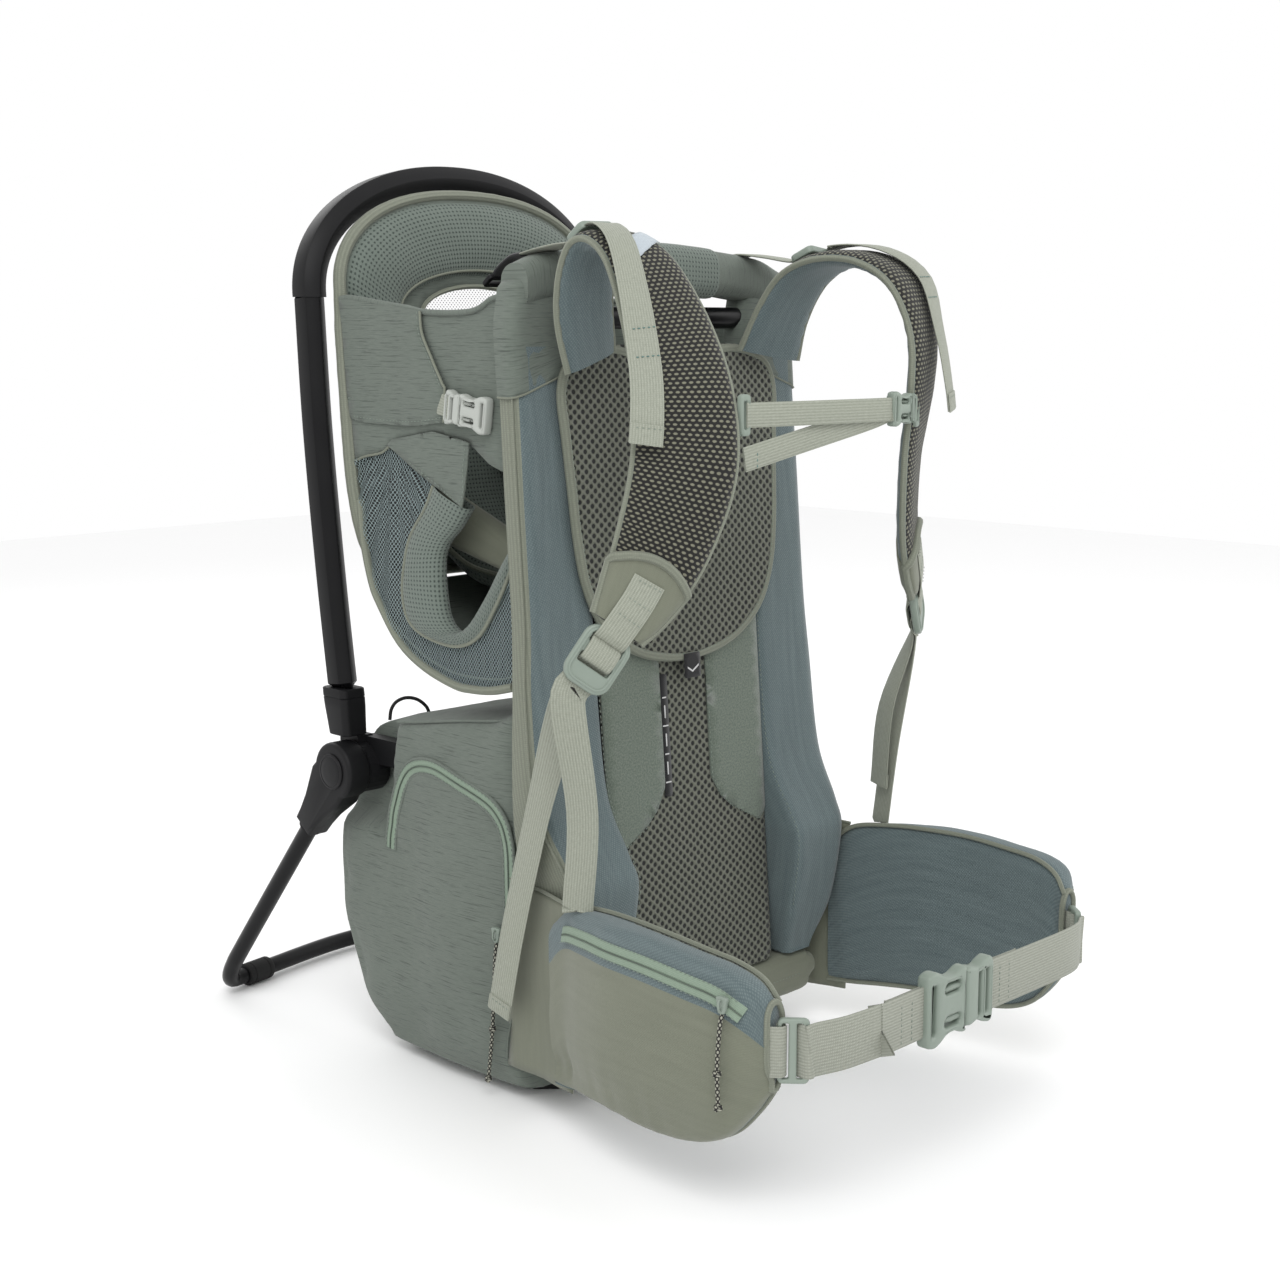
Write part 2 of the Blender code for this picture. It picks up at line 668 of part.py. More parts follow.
def cord_loop():
    """Elastic loop on the bag's top, near the knuckle."""
    x = BODY_HALF - 0.022
    route = [(x - 0.030, 0.080, 0.2885), (x - 0.026, 0.082, 0.296), (x - 0.012, 0.088, 0.300)]
    route += [(x, 0.092, 0.296), (x + 0.003, 0.094, 0.2855)]
    tube("cord_loop", smooth_path(route, 5), CORD_R, "cord", None, 2, -1)


# Cockpit


def cockpit_side(name, side):
    """Fabric side of the cockpit with its slanted oval leg opening."""
    rear = [(headrest_front(z) - CLEAR, z) for z in (0.425, 0.485, 0.551, 0.634)]
    rim = [(0.070, 0.632), (0.014, 0.623), (-0.040, 0.624), (-0.068, 0.632)]
    front = [(pillar_rear(z) + 2 * CLEAR, z) for z in (0.606, 0.55, 0.50, 0.46, 0.42, 0.38, 0.350)]
    belly = [(-0.085, 0.336), (-0.060, 0.330), (-0.035, 0.328), (-0.015, 0.329)]
    belly += [(0.022, 0.339), (0.053, 0.356), (0.078, 0.385)]
    outer = rear + rim + front + belly
    centre = Vector((-0.046, 0.444))
    tilt = math.radians(123)
    hole = []
    for y, z in outer:
        a = math.atan2(z - centre.y, y - centre.x) - tilt
        reach = 1 / math.hypot(math.cos(a) / 0.068, math.sin(a) / 0.034)
        hole.append((centre.x + reach * math.cos(a + tilt), centre.y + reach * math.sin(a + tilt)))
    near = BODY_HALF - SIDE_T / 2
    far = BODY_HALF + SIDE_T / 2
    loops = ((near, hole), (far, hole), (far, outer), (near, outer))
    rings = [[(x, y, z) for y, z in loop] for x, loop in loops]
    loft(name, rings, "sage_fabric", side=side, ring_shaped=True)


def headrest_panel():
    """Rear wall of the cockpit, ahead of the hoop, rounded at the top like it."""
    top = HOOP_TOP - HEADREST_DROP
    rise = 0.089
    arch = [(x, top - rise + z) for x, z in superellipse(BODY_HALF + 0.002, rise, 2.3, 16)]
    low = [(-BODY_HALF - 0.005, 0.551), (-BODY_HALF - 0.006, 0.480), (-BODY_HALF + 0.001, 0.432)]
    low += [(-BODY_HALF + 0.016, HEADREST_LOW_Z + 0.010), (-BODY_HALF + 0.040, HEADREST_LOW_Z)]
    outline = arch + low + [(-x, z) for x, z in reversed(low)]
    leaning_plate("headrest_panel", outline, headrest_front, HEADREST_T, "sage_fabric")


def cockpit_sling():
    """Bottom of the cockpit, which carries the seat, from the rear wall to the frame."""
    path = [
        (0, 0.0985, 0.396),
        (0, 0.074, 0.3775),
        (0, 0.050, 0.359),
        (0, 0.020, 0.345),
        (0, -0.015, 0.337),
        (0, -0.060, 0.338),
        (0, pillar_rear(0.372) + 0.0113, 0.347),
        (0, pillar_rear(0.372) + 0.0033, 0.372),
    ]
    ribbon("cockpit_sling", path, [(1, 0, 0)], 2 * (BODY_HALF - SIDE_T / 2 - CLEAR), SLING_T, "sage_fabric")


def front_rim():
    """Padded front rim of the cockpit, over the frame tube."""
    rings = []
    half = BODY_HALF - SIDE_T / 2 - CLEAR
    lifts = [-0.010, -0.002, 0.004, 0.006, 0.004, -0.002, -0.010]
    for t, lift in zip((-1, -0.8, -0.4, 0, 0.4, 0.8, 1), lifts):
        centre = Vector((t * half, -0.088, PANEL_HIGH_Z + 2 * FRAME_TUBE_R + 0.035 + lift))
        rings.append(section(centre, Vector((0, 0, 1)), Vector((0, 1, 0)), 0.040, 0.034, 0.010))
    loft("front_rim", rings, "blue_fabric")


def child_seat(pivot):
    """Padded seat and backrest of the child."""
    shape = [
        (-0.066, 0.404, 0.050, 0.020),
        (-0.030, 0.404, 0.060, 0.028),
        (0.030, 0.406, 0.065, 0.028),
        (0.062, 0.416, 0.075, 0.026),
        (0.0825, 0.445, 0.088, 0.025),
        (0.0925, 0.500, 0.094, 0.022),
        (0.1020, 0.580, 0.090, 0.020),
        (0.1085, 0.612, 0.078, 0.014),
    ]
    points = [Vector((0, y, z)) for y, z, _, _ in shape]
    rings = []
    for i, (_, _, half, thick) in enumerate(shape):
        wide = Vector((1, 0, 0))
        normal = tangent(points, i).cross(wide)
        rings.append(section(points[i], wide, normal, 2 * half, thick, thick * 0.3))
    loft("child_seat", rings, "sage_fabric", pivot)


def child_harness(pivot):
    """Shoulder and crotch straps of the child's harness, as one flat Y, and their buckle."""

    def in_front(z):
        return 0.0660 + 0.157 * (z - 0.44)

    half = [(0.046, 0.585), (0.062, 0.575), (0.0125, 0.485), (0.0125, 0.446)]
    outline = [(0.0, 0.505)] + half + [(-x, z) for x, z in reversed(half)]
    leaning_plate("child_harness", outline, lambda z: in_front(z) - WEB_T, WEB_T, "webbing", pivot)
    centre = (0, in_front(0.485) - WEB_T - CLEAR - 0.0062, 0.485)
    axes = ((0, 0.157, 1), (1, 0, 0), (0, 1, -0.157))
    block("harness_buckle", centre, axes, (0.038, 0.032, 0.010), "black_plastic", pivot, rounding=0.002)


def side_buckle(name, side):
    """Side-release buckle that closes the side entry."""
    centre = (BODY_HALF + SIDE_T / 2 + CLEAR + 0.0055, -0.045, 0.547)
    axes = ((0, -1, -0.14), (0, -0.14, 1), (1, 0, 0))
    block(name, centre, axes, (0.050, 0.029, 0.011), "sage_plastic", None, side, 0.003)


# Yoke and shoulder straps

# Tails of the lower webbing: (x from BODY_HALF, y, z) and the direction across the band
TAIL_R = [
    ((0.0265, -0.148, 0.276), (0.1, 1, 0.2)),
    ((0.0245, -0.124, 0.200), (0, 1, 0.28)),
    ((0.0240, -0.106, 0.140), (0, 1, 0.28)),
    ((0.0240, -0.092, 0.081), (0, 1, 0.28)),
]
TAIL_L = [
    ((0.0290, -0.196, 0.290), (0.4, 0.9, 0)),
    ((0.0280, -0.190, 0.220), (0.35, 0.93, 0)),
]

# Tails of the load lifters: place along the strap's stations, shift across the strap, lift off its face
LIFTER_TAIL_R = [
    (3.35, 0.002, 0.0045),
    (4, 0.010, 0.004),
    (5, 0.022, 0.005),
    (6, 0.028, 0.004),
    (7, 0.032, 0.004),
    (7.7, 0.034, 0.007),
]
LIFTER_TAIL_L = [
    (2.85, 0.0, 0.0045),
    (3, 0.002, 0.004),
    (4, 0.008, 0.004),
    (5, 0.012, 0.005),
    (6, 0.002, 0.007),
    (7.2, -0.002, 0.020),
]

# (x from BODY_HALF, y, z), the direction across the strap, its width
STRAP_L = [
    ((-0.050, -0.127, 0.588), (0.87, -0.12, -0.47), 0.058),
    ((-0.047, -0.139, 0.622), (0.95, 0.0, -0.30), 0.056),
    ((-0.043, -0.158, 0.650), (1.0, 0.0, -0.10), 0.056),
    ((-0.038, -0.188, 0.664), (1.0, 0.0, 0.0), 0.056),
    ((-0.032, -0.222, 0.662), (1.0, 0.08, 0.0), 0.056),
    ((-0.027, -0.250, 0.643), (0.98, 0.20, 0.0), 0.060),
    ((-0.022, -0.262, 0.605), (0.93, 0.35, 0.0), 0.066),
    ((-0.019, -0.259, 0.560), (0.90, 0.43, 0.0), 0.073),
    ((-0.016, -0.249, 0.510), (0.87, 0.50, 0.0), 0.075),
    ((-0.008, -0.241, 0.460), (0.85, 0.50, 0.10), 0.068),
    ((0.007, -0.233, 0.425), (0.85, 0.50, 0.20), 0.055),
    ((0.021, -0.227, 0.402), (0.85, 0.50, 0.25), 0.038),
]
STRAP_R = [
    ((-0.044, -0.127, 0.585), (0.87, -0.12, -0.47), 0.058),
    ((-0.034, -0.130, 0.622), (0.97, 0.0, -0.20), 0.056),
    ((-0.030, -0.137, 0.652), (1.0, 0.0, -0.10), 0.056),
    ((-0.029, -0.150, 0.671), (1.0, 0.0, 0.0), 0.056),
    ((-0.029, -0.170, 0.673), (1.0, 0.05, 0.0), 0.056),
    ((-0.030, -0.194, 0.655), (0.98, 0.15, 0.0), 0.060),
    ((-0.029, -0.222, 0.608), (0.93, 0.35, 0.0), 0.067),
    ((-0.024, -0.242, 0.560), (0.90, 0.43, 0.0), 0.073),
    ((-0.016, -0.249, 0.510), (0.87, 0.50, 0.0), 0.075),
    ((-0.005, -0.240, 0.460), (0.85, 0.50, 0.10), 0.068),
    ((0.010, -0.231, 0.425), (0.85, 0.50, 0.20), 0.055),
    ((0.026, -0.224, 0.400), (0.85, 0.50, 0.25), 0.038),
]


def strap_frame(stations, place, across=0.0, lift=0.0):
    """(point, wide, normal, along) at a place counted in stations, moved across the strap and off its face."""
    points = [Vector((BODY_HALF + x, y, z)) for (x, y, z), _, _ in stations]
    i = min(int(place), len(stations) - 2)
    t = place - i
    frames = []
    for j in (i, i + 1):
        along = tangent(points, j)
        wide = Vector(stations[j][1])
        wide = (wide - along * wide.dot(along)).normalized()
        frames.append((points[j], wide, along.cross(wide), along))
    point, wide, normal, along = (a.lerp(b, t) for a, b in zip(*frames))
    return point + wide * across + normal * lift, wide, normal, along


def shoulder_strap(name, stations, side, pivot):
    rings = []
    for i in range(len(stations)):
        point, wide, normal, _ = strap_frame(stations, i)
        thick = STRAP_T * (0.7 if i in (0, len(stations) - 1) else 1.0)
        rings.append(section(point, wide, normal, stations[i][2], thick, thick * 0.32))
    loft(name, rings, "black_mesh", pivot, side)


def ladder_lock(name, stations, side, pivot):
    """Ladder lock below the strap's end, with two slots for the webbing."""
    last = len(stations) - 1
    end, wide, normal, along = strap_frame(stations, last)
    centre = end + along * (0.0255 + 2 * CLEAR)
    lock = block(name, centre, (along, wide, normal), (0.046, 0.038, 0.006), "sage_plastic", pivot, side, 0.002)
    slot = (0.007, WEB_W + 0.0015, 0.02)
    for i, step in enumerate((-0.012, 0.004)):
        place = centre + along * step
        hole = block(f"{name}_slot{i}", place, (along, wide, normal), slot, "sage_plastic", pivot, side, 0)
        boolean(lock, hole, "DIFFERENCE")


def lower_webbing(name, stations, side, tail):
    """Webbing from the hip wing up to the ladder lock, and its tail: (x, y, z) and the direction across."""
    end, across, _, along = strap_frame(stations, len(stations) - 1)
    top = end + along * (0.0255 + 0.023 + 0.005)
    strand = BODY_HALF + 0.033
    path = [
        (strand, -0.190, 0.1935),
        (strand + 0.003, -0.198, 0.262),
        (top.x - 0.001, top.y - 0.003, top.z - 0.010),
        (top.x, top.y, top.z - 0.001),
        (top.x - 0.0005, top.y + 0.004, top.z - 0.010),
    ]
    path += [(BODY_HALF + x, y, z) for (x, y, z), _ in tail]
    wides = [(0.35, 0.93, 0), (0.4, 0.9, 0), across, across, across] + [wide for _, wide in tail]
    ribbon(name, path, wides, WEB_W, WEB_T, "webbing", side=side)


def lifter(buckle, webbing, stations, side, pivot, at, tail):
    """Load lifter: the buckle on the crest of the strap and the webbing whose tail hangs over its face."""
    point, wide, normal, along = strap_frame(stations, at)
    centre = point + normal * (STRAP_T / 2 + 0.0045)
    block(buckle, centre, (along, wide, normal), (0.022, 0.034, 0.006), "sage_plastic", pivot, side, 0.0015)
    frames = [strap_frame(stations, place, across, STRAP_T / 2 + lift) for place, across, lift in tail]
    path = [frame[0] for frame in frames]
    ribbon(webbing, path, [frame[1] for frame in frames], WEB_W, WEB_T, "webbing", pivot, side)


def yoke_panel(pivot):
    """Mesh plate that carries both shoulder straps and slides on the back panel."""
    edge = BODY_HALF - 0.023
    half = [(0.0, 0.566), (0.036, 0.588), (0.072, 0.597), (edge, 0.568), (edge - 0.003, 0.530)]
    half += [(edge - 0.006, 0.490), (edge - 0.009, 0.450), (edge - 0.016, 0.412), (edge - 0.033, 0.379)]
    half += [(0.060, 0.356), (0.020, 0.346)]

    def front(z):
        return panel_front(z) - YOKE_CLEAR - YOKE_T

    leaning_plate("yoke_panel", mirrored(half), front, YOKE_T, "olive_mesh", pivot)


def sternum(height, clip):
    """Sternum strap: doubled webbing from the right strap, and the buckle beside the left strap."""
    near = BODY_HALF - 0.0640
    far = BODY_HALF - 0.0545
    socket = far - 0.024
    path = [
        (-near, -0.264, 0.517),
        (-0.02, -0.270, 0.530),
        (socket - 0.030, -0.2750, 0.542),
        (socket - 0.0066, -0.2762, 0.5475),
        (socket - 0.0050, -0.2777, 0.5485),
        (socket - 0.0066, -0.2792, 0.5490),
        (socket - 0.030, -0.2790, 0.5490),
        (-0.02, -0.2740, 0.549),
        (-near, -0.266, 0.549),
    ]
    ribbon("sternum_webbing", path, [(0, 0, 1)], 0.018, WEB_T, "webbing", height)
    axes = ((1, 0, 0), (0, 0, 1), (0, 1, 0))
    middle = socket - 0.0036
    size = (0.022, 0.026, 0.009)
    centre = (middle + 0.011, -0.2777, 0.549)
    block("sternum_buckle_female", centre, axes, size, "sage_plastic", clip, rounding=0.002)
    start = middle + 0.022 + CLEAR
    size = (far - start, 0.022, 0.009)
    centre = ((start + far) / 2, -0.2777, 0.549)
    block("sternum_buckle_male", centre, axes, size, "sage_plastic", height, rounding=0.002)


def clear_scene():
    for piece in list(bpy.data.objects):
        bpy.data.objects.remove(piece)


def build():
    clear_scene()
    stand = make_pivot("kickstand_pivot", (0, PIVOT_Y, PIVOT_Z))
    yoke = make_pivot("yoke_slide", (0, panel_front(0.5), 0.5))
    seat = make_pivot("seat_slide", (0, headrest_front(0.5), 0.5))
    chest = make_pivot("sternum_slide", (0, -0.2777, 0.549), yoke)
    chest_clip = make_pivot("sternum_clip_slide", (0, -0.2777, 0.549), chest)
    hip_clip = make_pivot("hip_clip_slide", (0, BELT_Y, BELT_Z))

    frame_tube()
    hoop_arch()
    kickstand_tube(stand)
    back_panel()
    lumbar_pad()
    storage_bag()
    bag_base()
    headrest_panel()
    cockpit_sling()
    front_rim()
    child_seat(seat)
    child_harness(seat)
    yoke_panel(yoke)
    sternum(chest, chest_clip)
    hip_belt(hip_clip)
    cord_loop()
    for tag, side, stations, tail in (("_r", -1, STRAP_R, TAIL_R), ("_l", 1, STRAP_L, TAIL_L)):
        hoop_bar("hoop_bar" + tag, side)
        hoop_socket("hoop_socket" + tag, side)
        hinge_bracket("hinge_bracket" + tag, side)
        leg_housing("leg_housing" + tag, side, stand)
        hinge_pin("hinge_pin" + tag, side)
        foot_sleeve("foot_sleeve" + tag, side, stand)
        pillar_pad("pillar_pad" + tag, side)
        hip_wing("hip_wing" + tag, side)
        hip_lock("hip_lock" + tag, side)
        cockpit_side("cockpit_side" + tag, side)
        side_buckle("side_buckle" + tag, side)
        shoulder_strap("shoulder_strap" + tag, stations, side, yoke)
        ladder_lock("ladder_lock" + tag, stations, side, yoke)
        lower_webbing("lower_webbing" + tag, stations, side, tail)
    lifter("lifter_buckle_r", "lifter_webbing_r", STRAP_R, -1, yoke, 2.95, LIFTER_TAIL_R)
    lifter("lifter_buckle_l", "lifter_webbing_l", STRAP_L, 1, yoke, 2.4, LIFTER_TAIL_L)
    hip_x = BODY_HALF + 0.0595
    for tag, side in (("_r", -1), ("_l", 1)):
        slide = make_pivot("hip_zip_slide" + tag, (side * hip_x, -0.357, 0.163))
        zip_slider("hip_zip_slider" + tag, (hip_x, -0.357, 0.163), slide, side)
        route = [(hip_x, -0.357, 0.1562), (hip_x + 0.002, -0.3575, 0.148)]
        route += [(hip_x + 0.005, -0.358, 0.120), (hip_x + 0.005, -0.359, 0.091)]
        zip_pull("hip_zip_pull" + tag, route, slide, side)
    bag_x = BODY_HALF + BAG_OVERHANG + 0.0026
    slide = make_pivot("bag_zip_slide", (-bag_x, -0.076, 0.138))
    zip_slider("bag_zip_slider", (bag_x, -0.076, 0.138), slide)
    route = [(bag_x, -0.076, 0.1314), (bag_x + 0.001, -0.0755, 0.118), (bag_x + 0.001, -0.072, 0.060)]
    zip_pull("bag_zip_pull", route + [(bag_x + 0.001, -0.066, 0.012)], slide)


build()
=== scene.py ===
# %% [markdown]
# # Child carrier backpack
# This lesson dresses a plain solid model of a framed child carrier in cloth, webbing, moulded plastic and tube.
# The solid model is the frame: it says where every piece sits and how it moves. Each piece made here is placed from it
# and rides on one of its bodies, so that the carrier still folds, slides and unzips.

import math

import bpy
import numpy as np
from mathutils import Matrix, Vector, geometry, kdtree, noise


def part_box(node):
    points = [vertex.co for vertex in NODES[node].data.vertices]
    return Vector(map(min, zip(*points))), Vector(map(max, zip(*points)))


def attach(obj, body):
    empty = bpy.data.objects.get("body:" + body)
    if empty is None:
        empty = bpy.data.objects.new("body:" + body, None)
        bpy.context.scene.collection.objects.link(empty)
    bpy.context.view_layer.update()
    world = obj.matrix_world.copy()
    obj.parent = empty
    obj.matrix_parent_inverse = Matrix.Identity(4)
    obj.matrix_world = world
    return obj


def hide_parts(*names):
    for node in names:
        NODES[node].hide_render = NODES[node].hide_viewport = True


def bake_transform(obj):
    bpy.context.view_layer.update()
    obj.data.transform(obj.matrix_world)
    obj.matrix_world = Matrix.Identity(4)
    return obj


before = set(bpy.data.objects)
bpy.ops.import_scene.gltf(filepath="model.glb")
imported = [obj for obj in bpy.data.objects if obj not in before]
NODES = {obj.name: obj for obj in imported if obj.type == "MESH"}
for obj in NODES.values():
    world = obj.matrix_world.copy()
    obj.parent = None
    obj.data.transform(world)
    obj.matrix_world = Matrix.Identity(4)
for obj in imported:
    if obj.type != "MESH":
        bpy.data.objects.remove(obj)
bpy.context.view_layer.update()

# %% [markdown]
# ## Measures
# These are the carrier's own sizes in metres: half of the cockpit's width, the lean of the back and of the headrest,
# and the thickness of cloth and webbing. Z is up, -Y faces the wearer's back and +X is the wearer's left.

# %% Measures
HALF = 0.150
WEB_W, WEB_T = 0.025, 0.0016
HOOP_LEAN = 0.103
PIVOT = Vector((0, 0.105, 0.244))
LEG_X = 0.1724  # the kickstand's legs
FOOT = Vector((0, 0.298, 0.0105))
BELT_Y, BELT_Z, BELT_W = -0.417, 0.135, 0.038
UP, ACROSS, AHEAD = Vector((0, 0, 1)), Vector((1, 0, 0)), Vector((0, -1, 0))
HOOP_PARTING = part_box("hoop_arch")[0].z
print("parting line of the hoop:", round(HOOP_PARTING, 4))


def panel_front(z):
    """Front face of the back panel."""
    return -0.102 - 0.078 * (0.620 - z)


def pillar_rear(z):
    return panel_front(max(z, 0.330)) + 0.022


def headrest_front(z):
    return 0.094 + 0.114 * (z - 0.400)


def hoop_y(z):
    return 0.111 + HOOP_LEAN * (z - 0.263)


# %% [markdown]
# ## Mesh helpers
# Nearly every piece here is one of four things: a skin over a row of rings, a flat band, a round cord, or a patch cut
# like a tailor's pattern and laid on a curved place. Each helper also writes a UV map called "cloth" whose unit is one
# metre, so a weave has its true size on every piece.

# %% Curves and rings
def refine(rows, per=6):
    """A smooth curve through rows of numbers, with per steps between two rows."""
    known = np.array(rows, float)
    ends = np.concatenate([[2 * known[0] - known[1]], known, [2 * known[-1] - known[-2]]])
    out = []
    for a, b, c, d in zip(ends, ends[1:], ends[2:], ends[3:]):
        for t in np.arange(per) / per:
            square = (2 * a - 5 * b + 4 * c - d) * t**2
            cube = (3 * b - a - 3 * c + d) * t**3
            out.append((2 * b + (c - a) * t + square + cube) / 2)
    return np.array(out + [known[-1]])


def closed_curve(points, per=4):
    """The same for a closed outline."""
    known = np.array(points, float)
    return refine(np.concatenate([known[-1:], known, known[:2]]), per)[per:-per - 1]


def even(points, step, closed=False):
    """Points at even steps along a polyline."""
    known = np.array(points, float)
    if closed:
        known = np.concatenate([known, known[:1]])
    lengths = np.concatenate([[0], np.cumsum(np.linalg.norm(np.diff(known, axis=0), axis=1))])
    count = max(2, int(round(lengths[-1] / step)))
    at = np.linspace(0, lengths[-1], count + 1)
    if closed:
        at = at[:-1]
    return np.stack([np.interp(at, lengths, known[:, k]) for k in range(known.shape[1])], 1)


def smooth_step(low, high, value):
    t = min(1.0, max(0.0, (value - low) / (high - low)))
    return t * t * (3 - 2 * t)


def wobble(point, scale, seed=0.0):
    """Smooth noise from -1 to 1, the same in each run."""
    return noise.noise(Vector(point) * scale + Vector((seed, seed * 1.7, 3.1)))


# %% Making a piece
def piece(name, points, faces, paint, body="root", uvs=None, bands=None, sharp=40):
    """A mesh object with its paint, its cloth coordinates and the body that it rides on. bands holds material indices."""
    mesh = bpy.data.meshes.new(name)
    mesh.from_pydata([tuple(map(float, p)) for p in points], [], [tuple(f) for f in faces])
    layer = mesh.uv_layers.new(name="cloth")
    if uvs is None:
        lay_box(mesh, layer)
    else:
        layer.data.foreach_set("uv", np.array([c for face in uvs for c in face], np.float32).ravel())
    for one in paint if isinstance(paint, (list, tuple)) else [paint]:
        mesh.materials.append(one)
    if bands is not None:
        mesh.polygons.foreach_set("material_index", np.array(bands, np.int32))
    mesh.shade_smooth()
    mesh.set_sharp_from_angle(angle=math.radians(sharp))
    obj = bpy.data.objects.new(name, mesh)
    bpy.context.scene.collection.objects.link(obj)
    if body:
        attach(obj, body)
    return obj


def lay_box(mesh, layer):
    """Cloth coordinates from the side that each face looks to: upright cloth keeps its threads level."""
    for polygon in mesh.polygons:
        n = [abs(c) for c in polygon.normal]
        pair = ((1, 2), (0, 2), (0, 1))[n.index(max(n))]
        for corner in polygon.loop_indices:
            co = mesh.vertices[mesh.loops[corner].vertex_index].co
            layer.data[corner].uv = (co[pair[0]], co[pair[1]])


def skin(name, rings, paint, body="root", around=True, capped=True, loop=False, bands=None, sharp=40):
    """A surface over rings of equal count. around closes each ring, capped fills both ends, loop joins the ends."""
    rings = np.array(rings, float)
    count, size = rings.shape[:2]
    wrapped = np.concatenate([rings, rings[:, :1]], 1) if around else rings
    steps = np.linalg.norm(np.diff(wrapped, axis=1), axis=2)
    u = np.concatenate([np.zeros((count, 1)), np.cumsum(steps, 1)], 1)
    u = u - u[:, -1:] / 2
    v = np.concatenate([[0], np.cumsum(np.linalg.norm(np.diff(rings.mean(1), axis=0), axis=1))])
    faces, uvs, index = [], [], []
    for i in range(count if loop else count - 1):
        k = (i + 1) % count
        ahead = v[i + 1] if k else v[-1] + np.linalg.norm(rings[0].mean(0) - rings[-1].mean(0))
        for j in range(size if around else size - 1):
            m = (j + 1) % size
            faces.append((i * size + j, i * size + m, k * size + m, k * size + j))
            uvs.append([(u[i][j], v[i]), (u[i][j + 1], v[i]), (u[k][j + 1], ahead), (u[k][j], ahead)])
            index.append(bands[j] if bands else 0)
    if capped and around and not loop:
        for i in (0, count - 1):
            faces.append(tuple(i * size + j for j in range(size)))
            uvs.append([(p[0], p[2]) for p in rings[i]])
            index.append(0)
    obj = piece(name, rings.reshape(-1, 3), faces, paint, body, uvs, index, sharp)
    if around:
        turn_out(obj.data)
    return obj


def turn_out(mesh):
    """Turns a closed mesh so that its faces look outwards."""
    volume = sum(mesh.vertices[p.vertices[0]].co.dot(p.normal) * p.area for p in mesh.polygons)
    if volume < 0:
        mesh.flip_normals()


def frames_along(path, wide=None):
    """For each point of a path: the point, the direction across, and the normal."""
    points = [Vector(p) for p in path]
    found = []
    side = None
    for i, point in enumerate(points):
        along = (points[min(i + 1, len(points) - 1)] - points[max(i - 1, 0)]).normalized()
        if wide is not None:
            side = Vector(wide[i] if len(wide) > 1 else wide[0])
        elif side is None:
            side = along.orthogonal()
        side = (side - along * side.dot(along)).normalized()
        found.append((point, side, along.cross(side)))
    return found


def cord(name, path, radius, paint, body="root", sides=12, closed=False):
    """A round bar or cord along a path; radius may be a list, one for each point."""
    size = radius if isinstance(radius, (list, tuple, np.ndarray)) else [radius] * len(path)
    turns = [2 * math.pi * k / sides for k in range(sides)]
    rings = []
    for (point, side, normal), r in zip(frames_along(path), size):
        rings.append([point + side * r * math.cos(a) + normal * r * math.sin(a) for a in turns])
    return skin(name, rings, paint, body, capped=not closed, loop=closed)


def band(name, path, wide, width, thick, paint, body="root", side=1):
    """Flat webbing along a path, with soft selvages. wide is the direction across, one for all or one for each point."""
    size = width if isinstance(width, (list, tuple, np.ndarray)) else [width] * len(path)
    rings = []
    for (point, across, normal), w in zip(frames_along(path, wide), size):
        a, b, e = w / 2, thick / 2, min(0.0012, w * 0.1)
        shape = [(-a, -b / 3), (e - a, -b), (0, -b), (a - e, -b), (a, -b / 3)]
        shape += [(a, b / 3), (a - e, b), (0, b), (e - a, b), (-a, b / 3)]
        rings.append([point + across * u + normal * v for u, v in shape])
    rings = [[(side * p.x, p.y, p.z) for p in ring] for ring in rings]
    return skin(name, rings, paint, body)


def inside(outline, a, b):
    """Whether a point of the flat pattern lies in its outline."""
    found = False
    for (p, q), (r, s) in zip(outline, np.roll(outline, -1, 0)):
        if (q > b) != (s > b) and a < (r - p) * (b - q) / (s - q) + p:
            found = not found
    return found


def patch(name, outline, place, paint, body="root", step=0.005, thick=0.0012, holes=(), offset=0.0):
    """A flat pattern with this outline, laid by place(a, b) and thickened. Its threads follow a and b."""
    outline = np.array(outline, float)
    loops = [outline] + [np.array(h, float) for h in holes]
    spots, edges = [], []
    for loop in loops:
        start = len(spots)
        spots += [Vector(p) for p in loop]
        edges += [(start + i, start + (i + 1) % len(loop)) for i in range(len(loop))]
    border = np.concatenate(loops)
    low, high = outline.min(0), outline.max(0)
    row = 0
    for b in np.arange(low[1] + step / 2, high[1], step * 0.87):
        row += 1
        for a in np.arange(low[0] + step * (0.5 if row % 2 else 1.0), high[0], step):
            if np.min(np.hypot(border[:, 0] - a, border[:, 1] - b)) > step * 0.6 and inside(outline, a, b):
                if not any(inside(h, a, b) for h in loops[1:]):
                    spots.append(Vector((a, b)))
    flat, _, faces = geometry.delaunay_2d_cdt(spots, edges, [], 0, 1e-6)[:3]
    kept = []
    for face in faces:
        a, b = sum((flat[k] for k in face), Vector((0, 0))) / len(face)
        if inside(outline, a, b) and not any(inside(h, a, b) for h in loops[1:]):
            kept.append(face)
    points = [place(p.x, p.y) for p in flat]
    uvs = [[tuple(flat[k]) for k in face] for face in kept]
    obj = piece(name, points, kept, paint, body, uvs, sharp=60)
    if thick:
        thicken = obj.modifiers.new("Thickness", "SOLIDIFY")
        thicken.thickness = thick
        thicken.offset = offset
    return obj


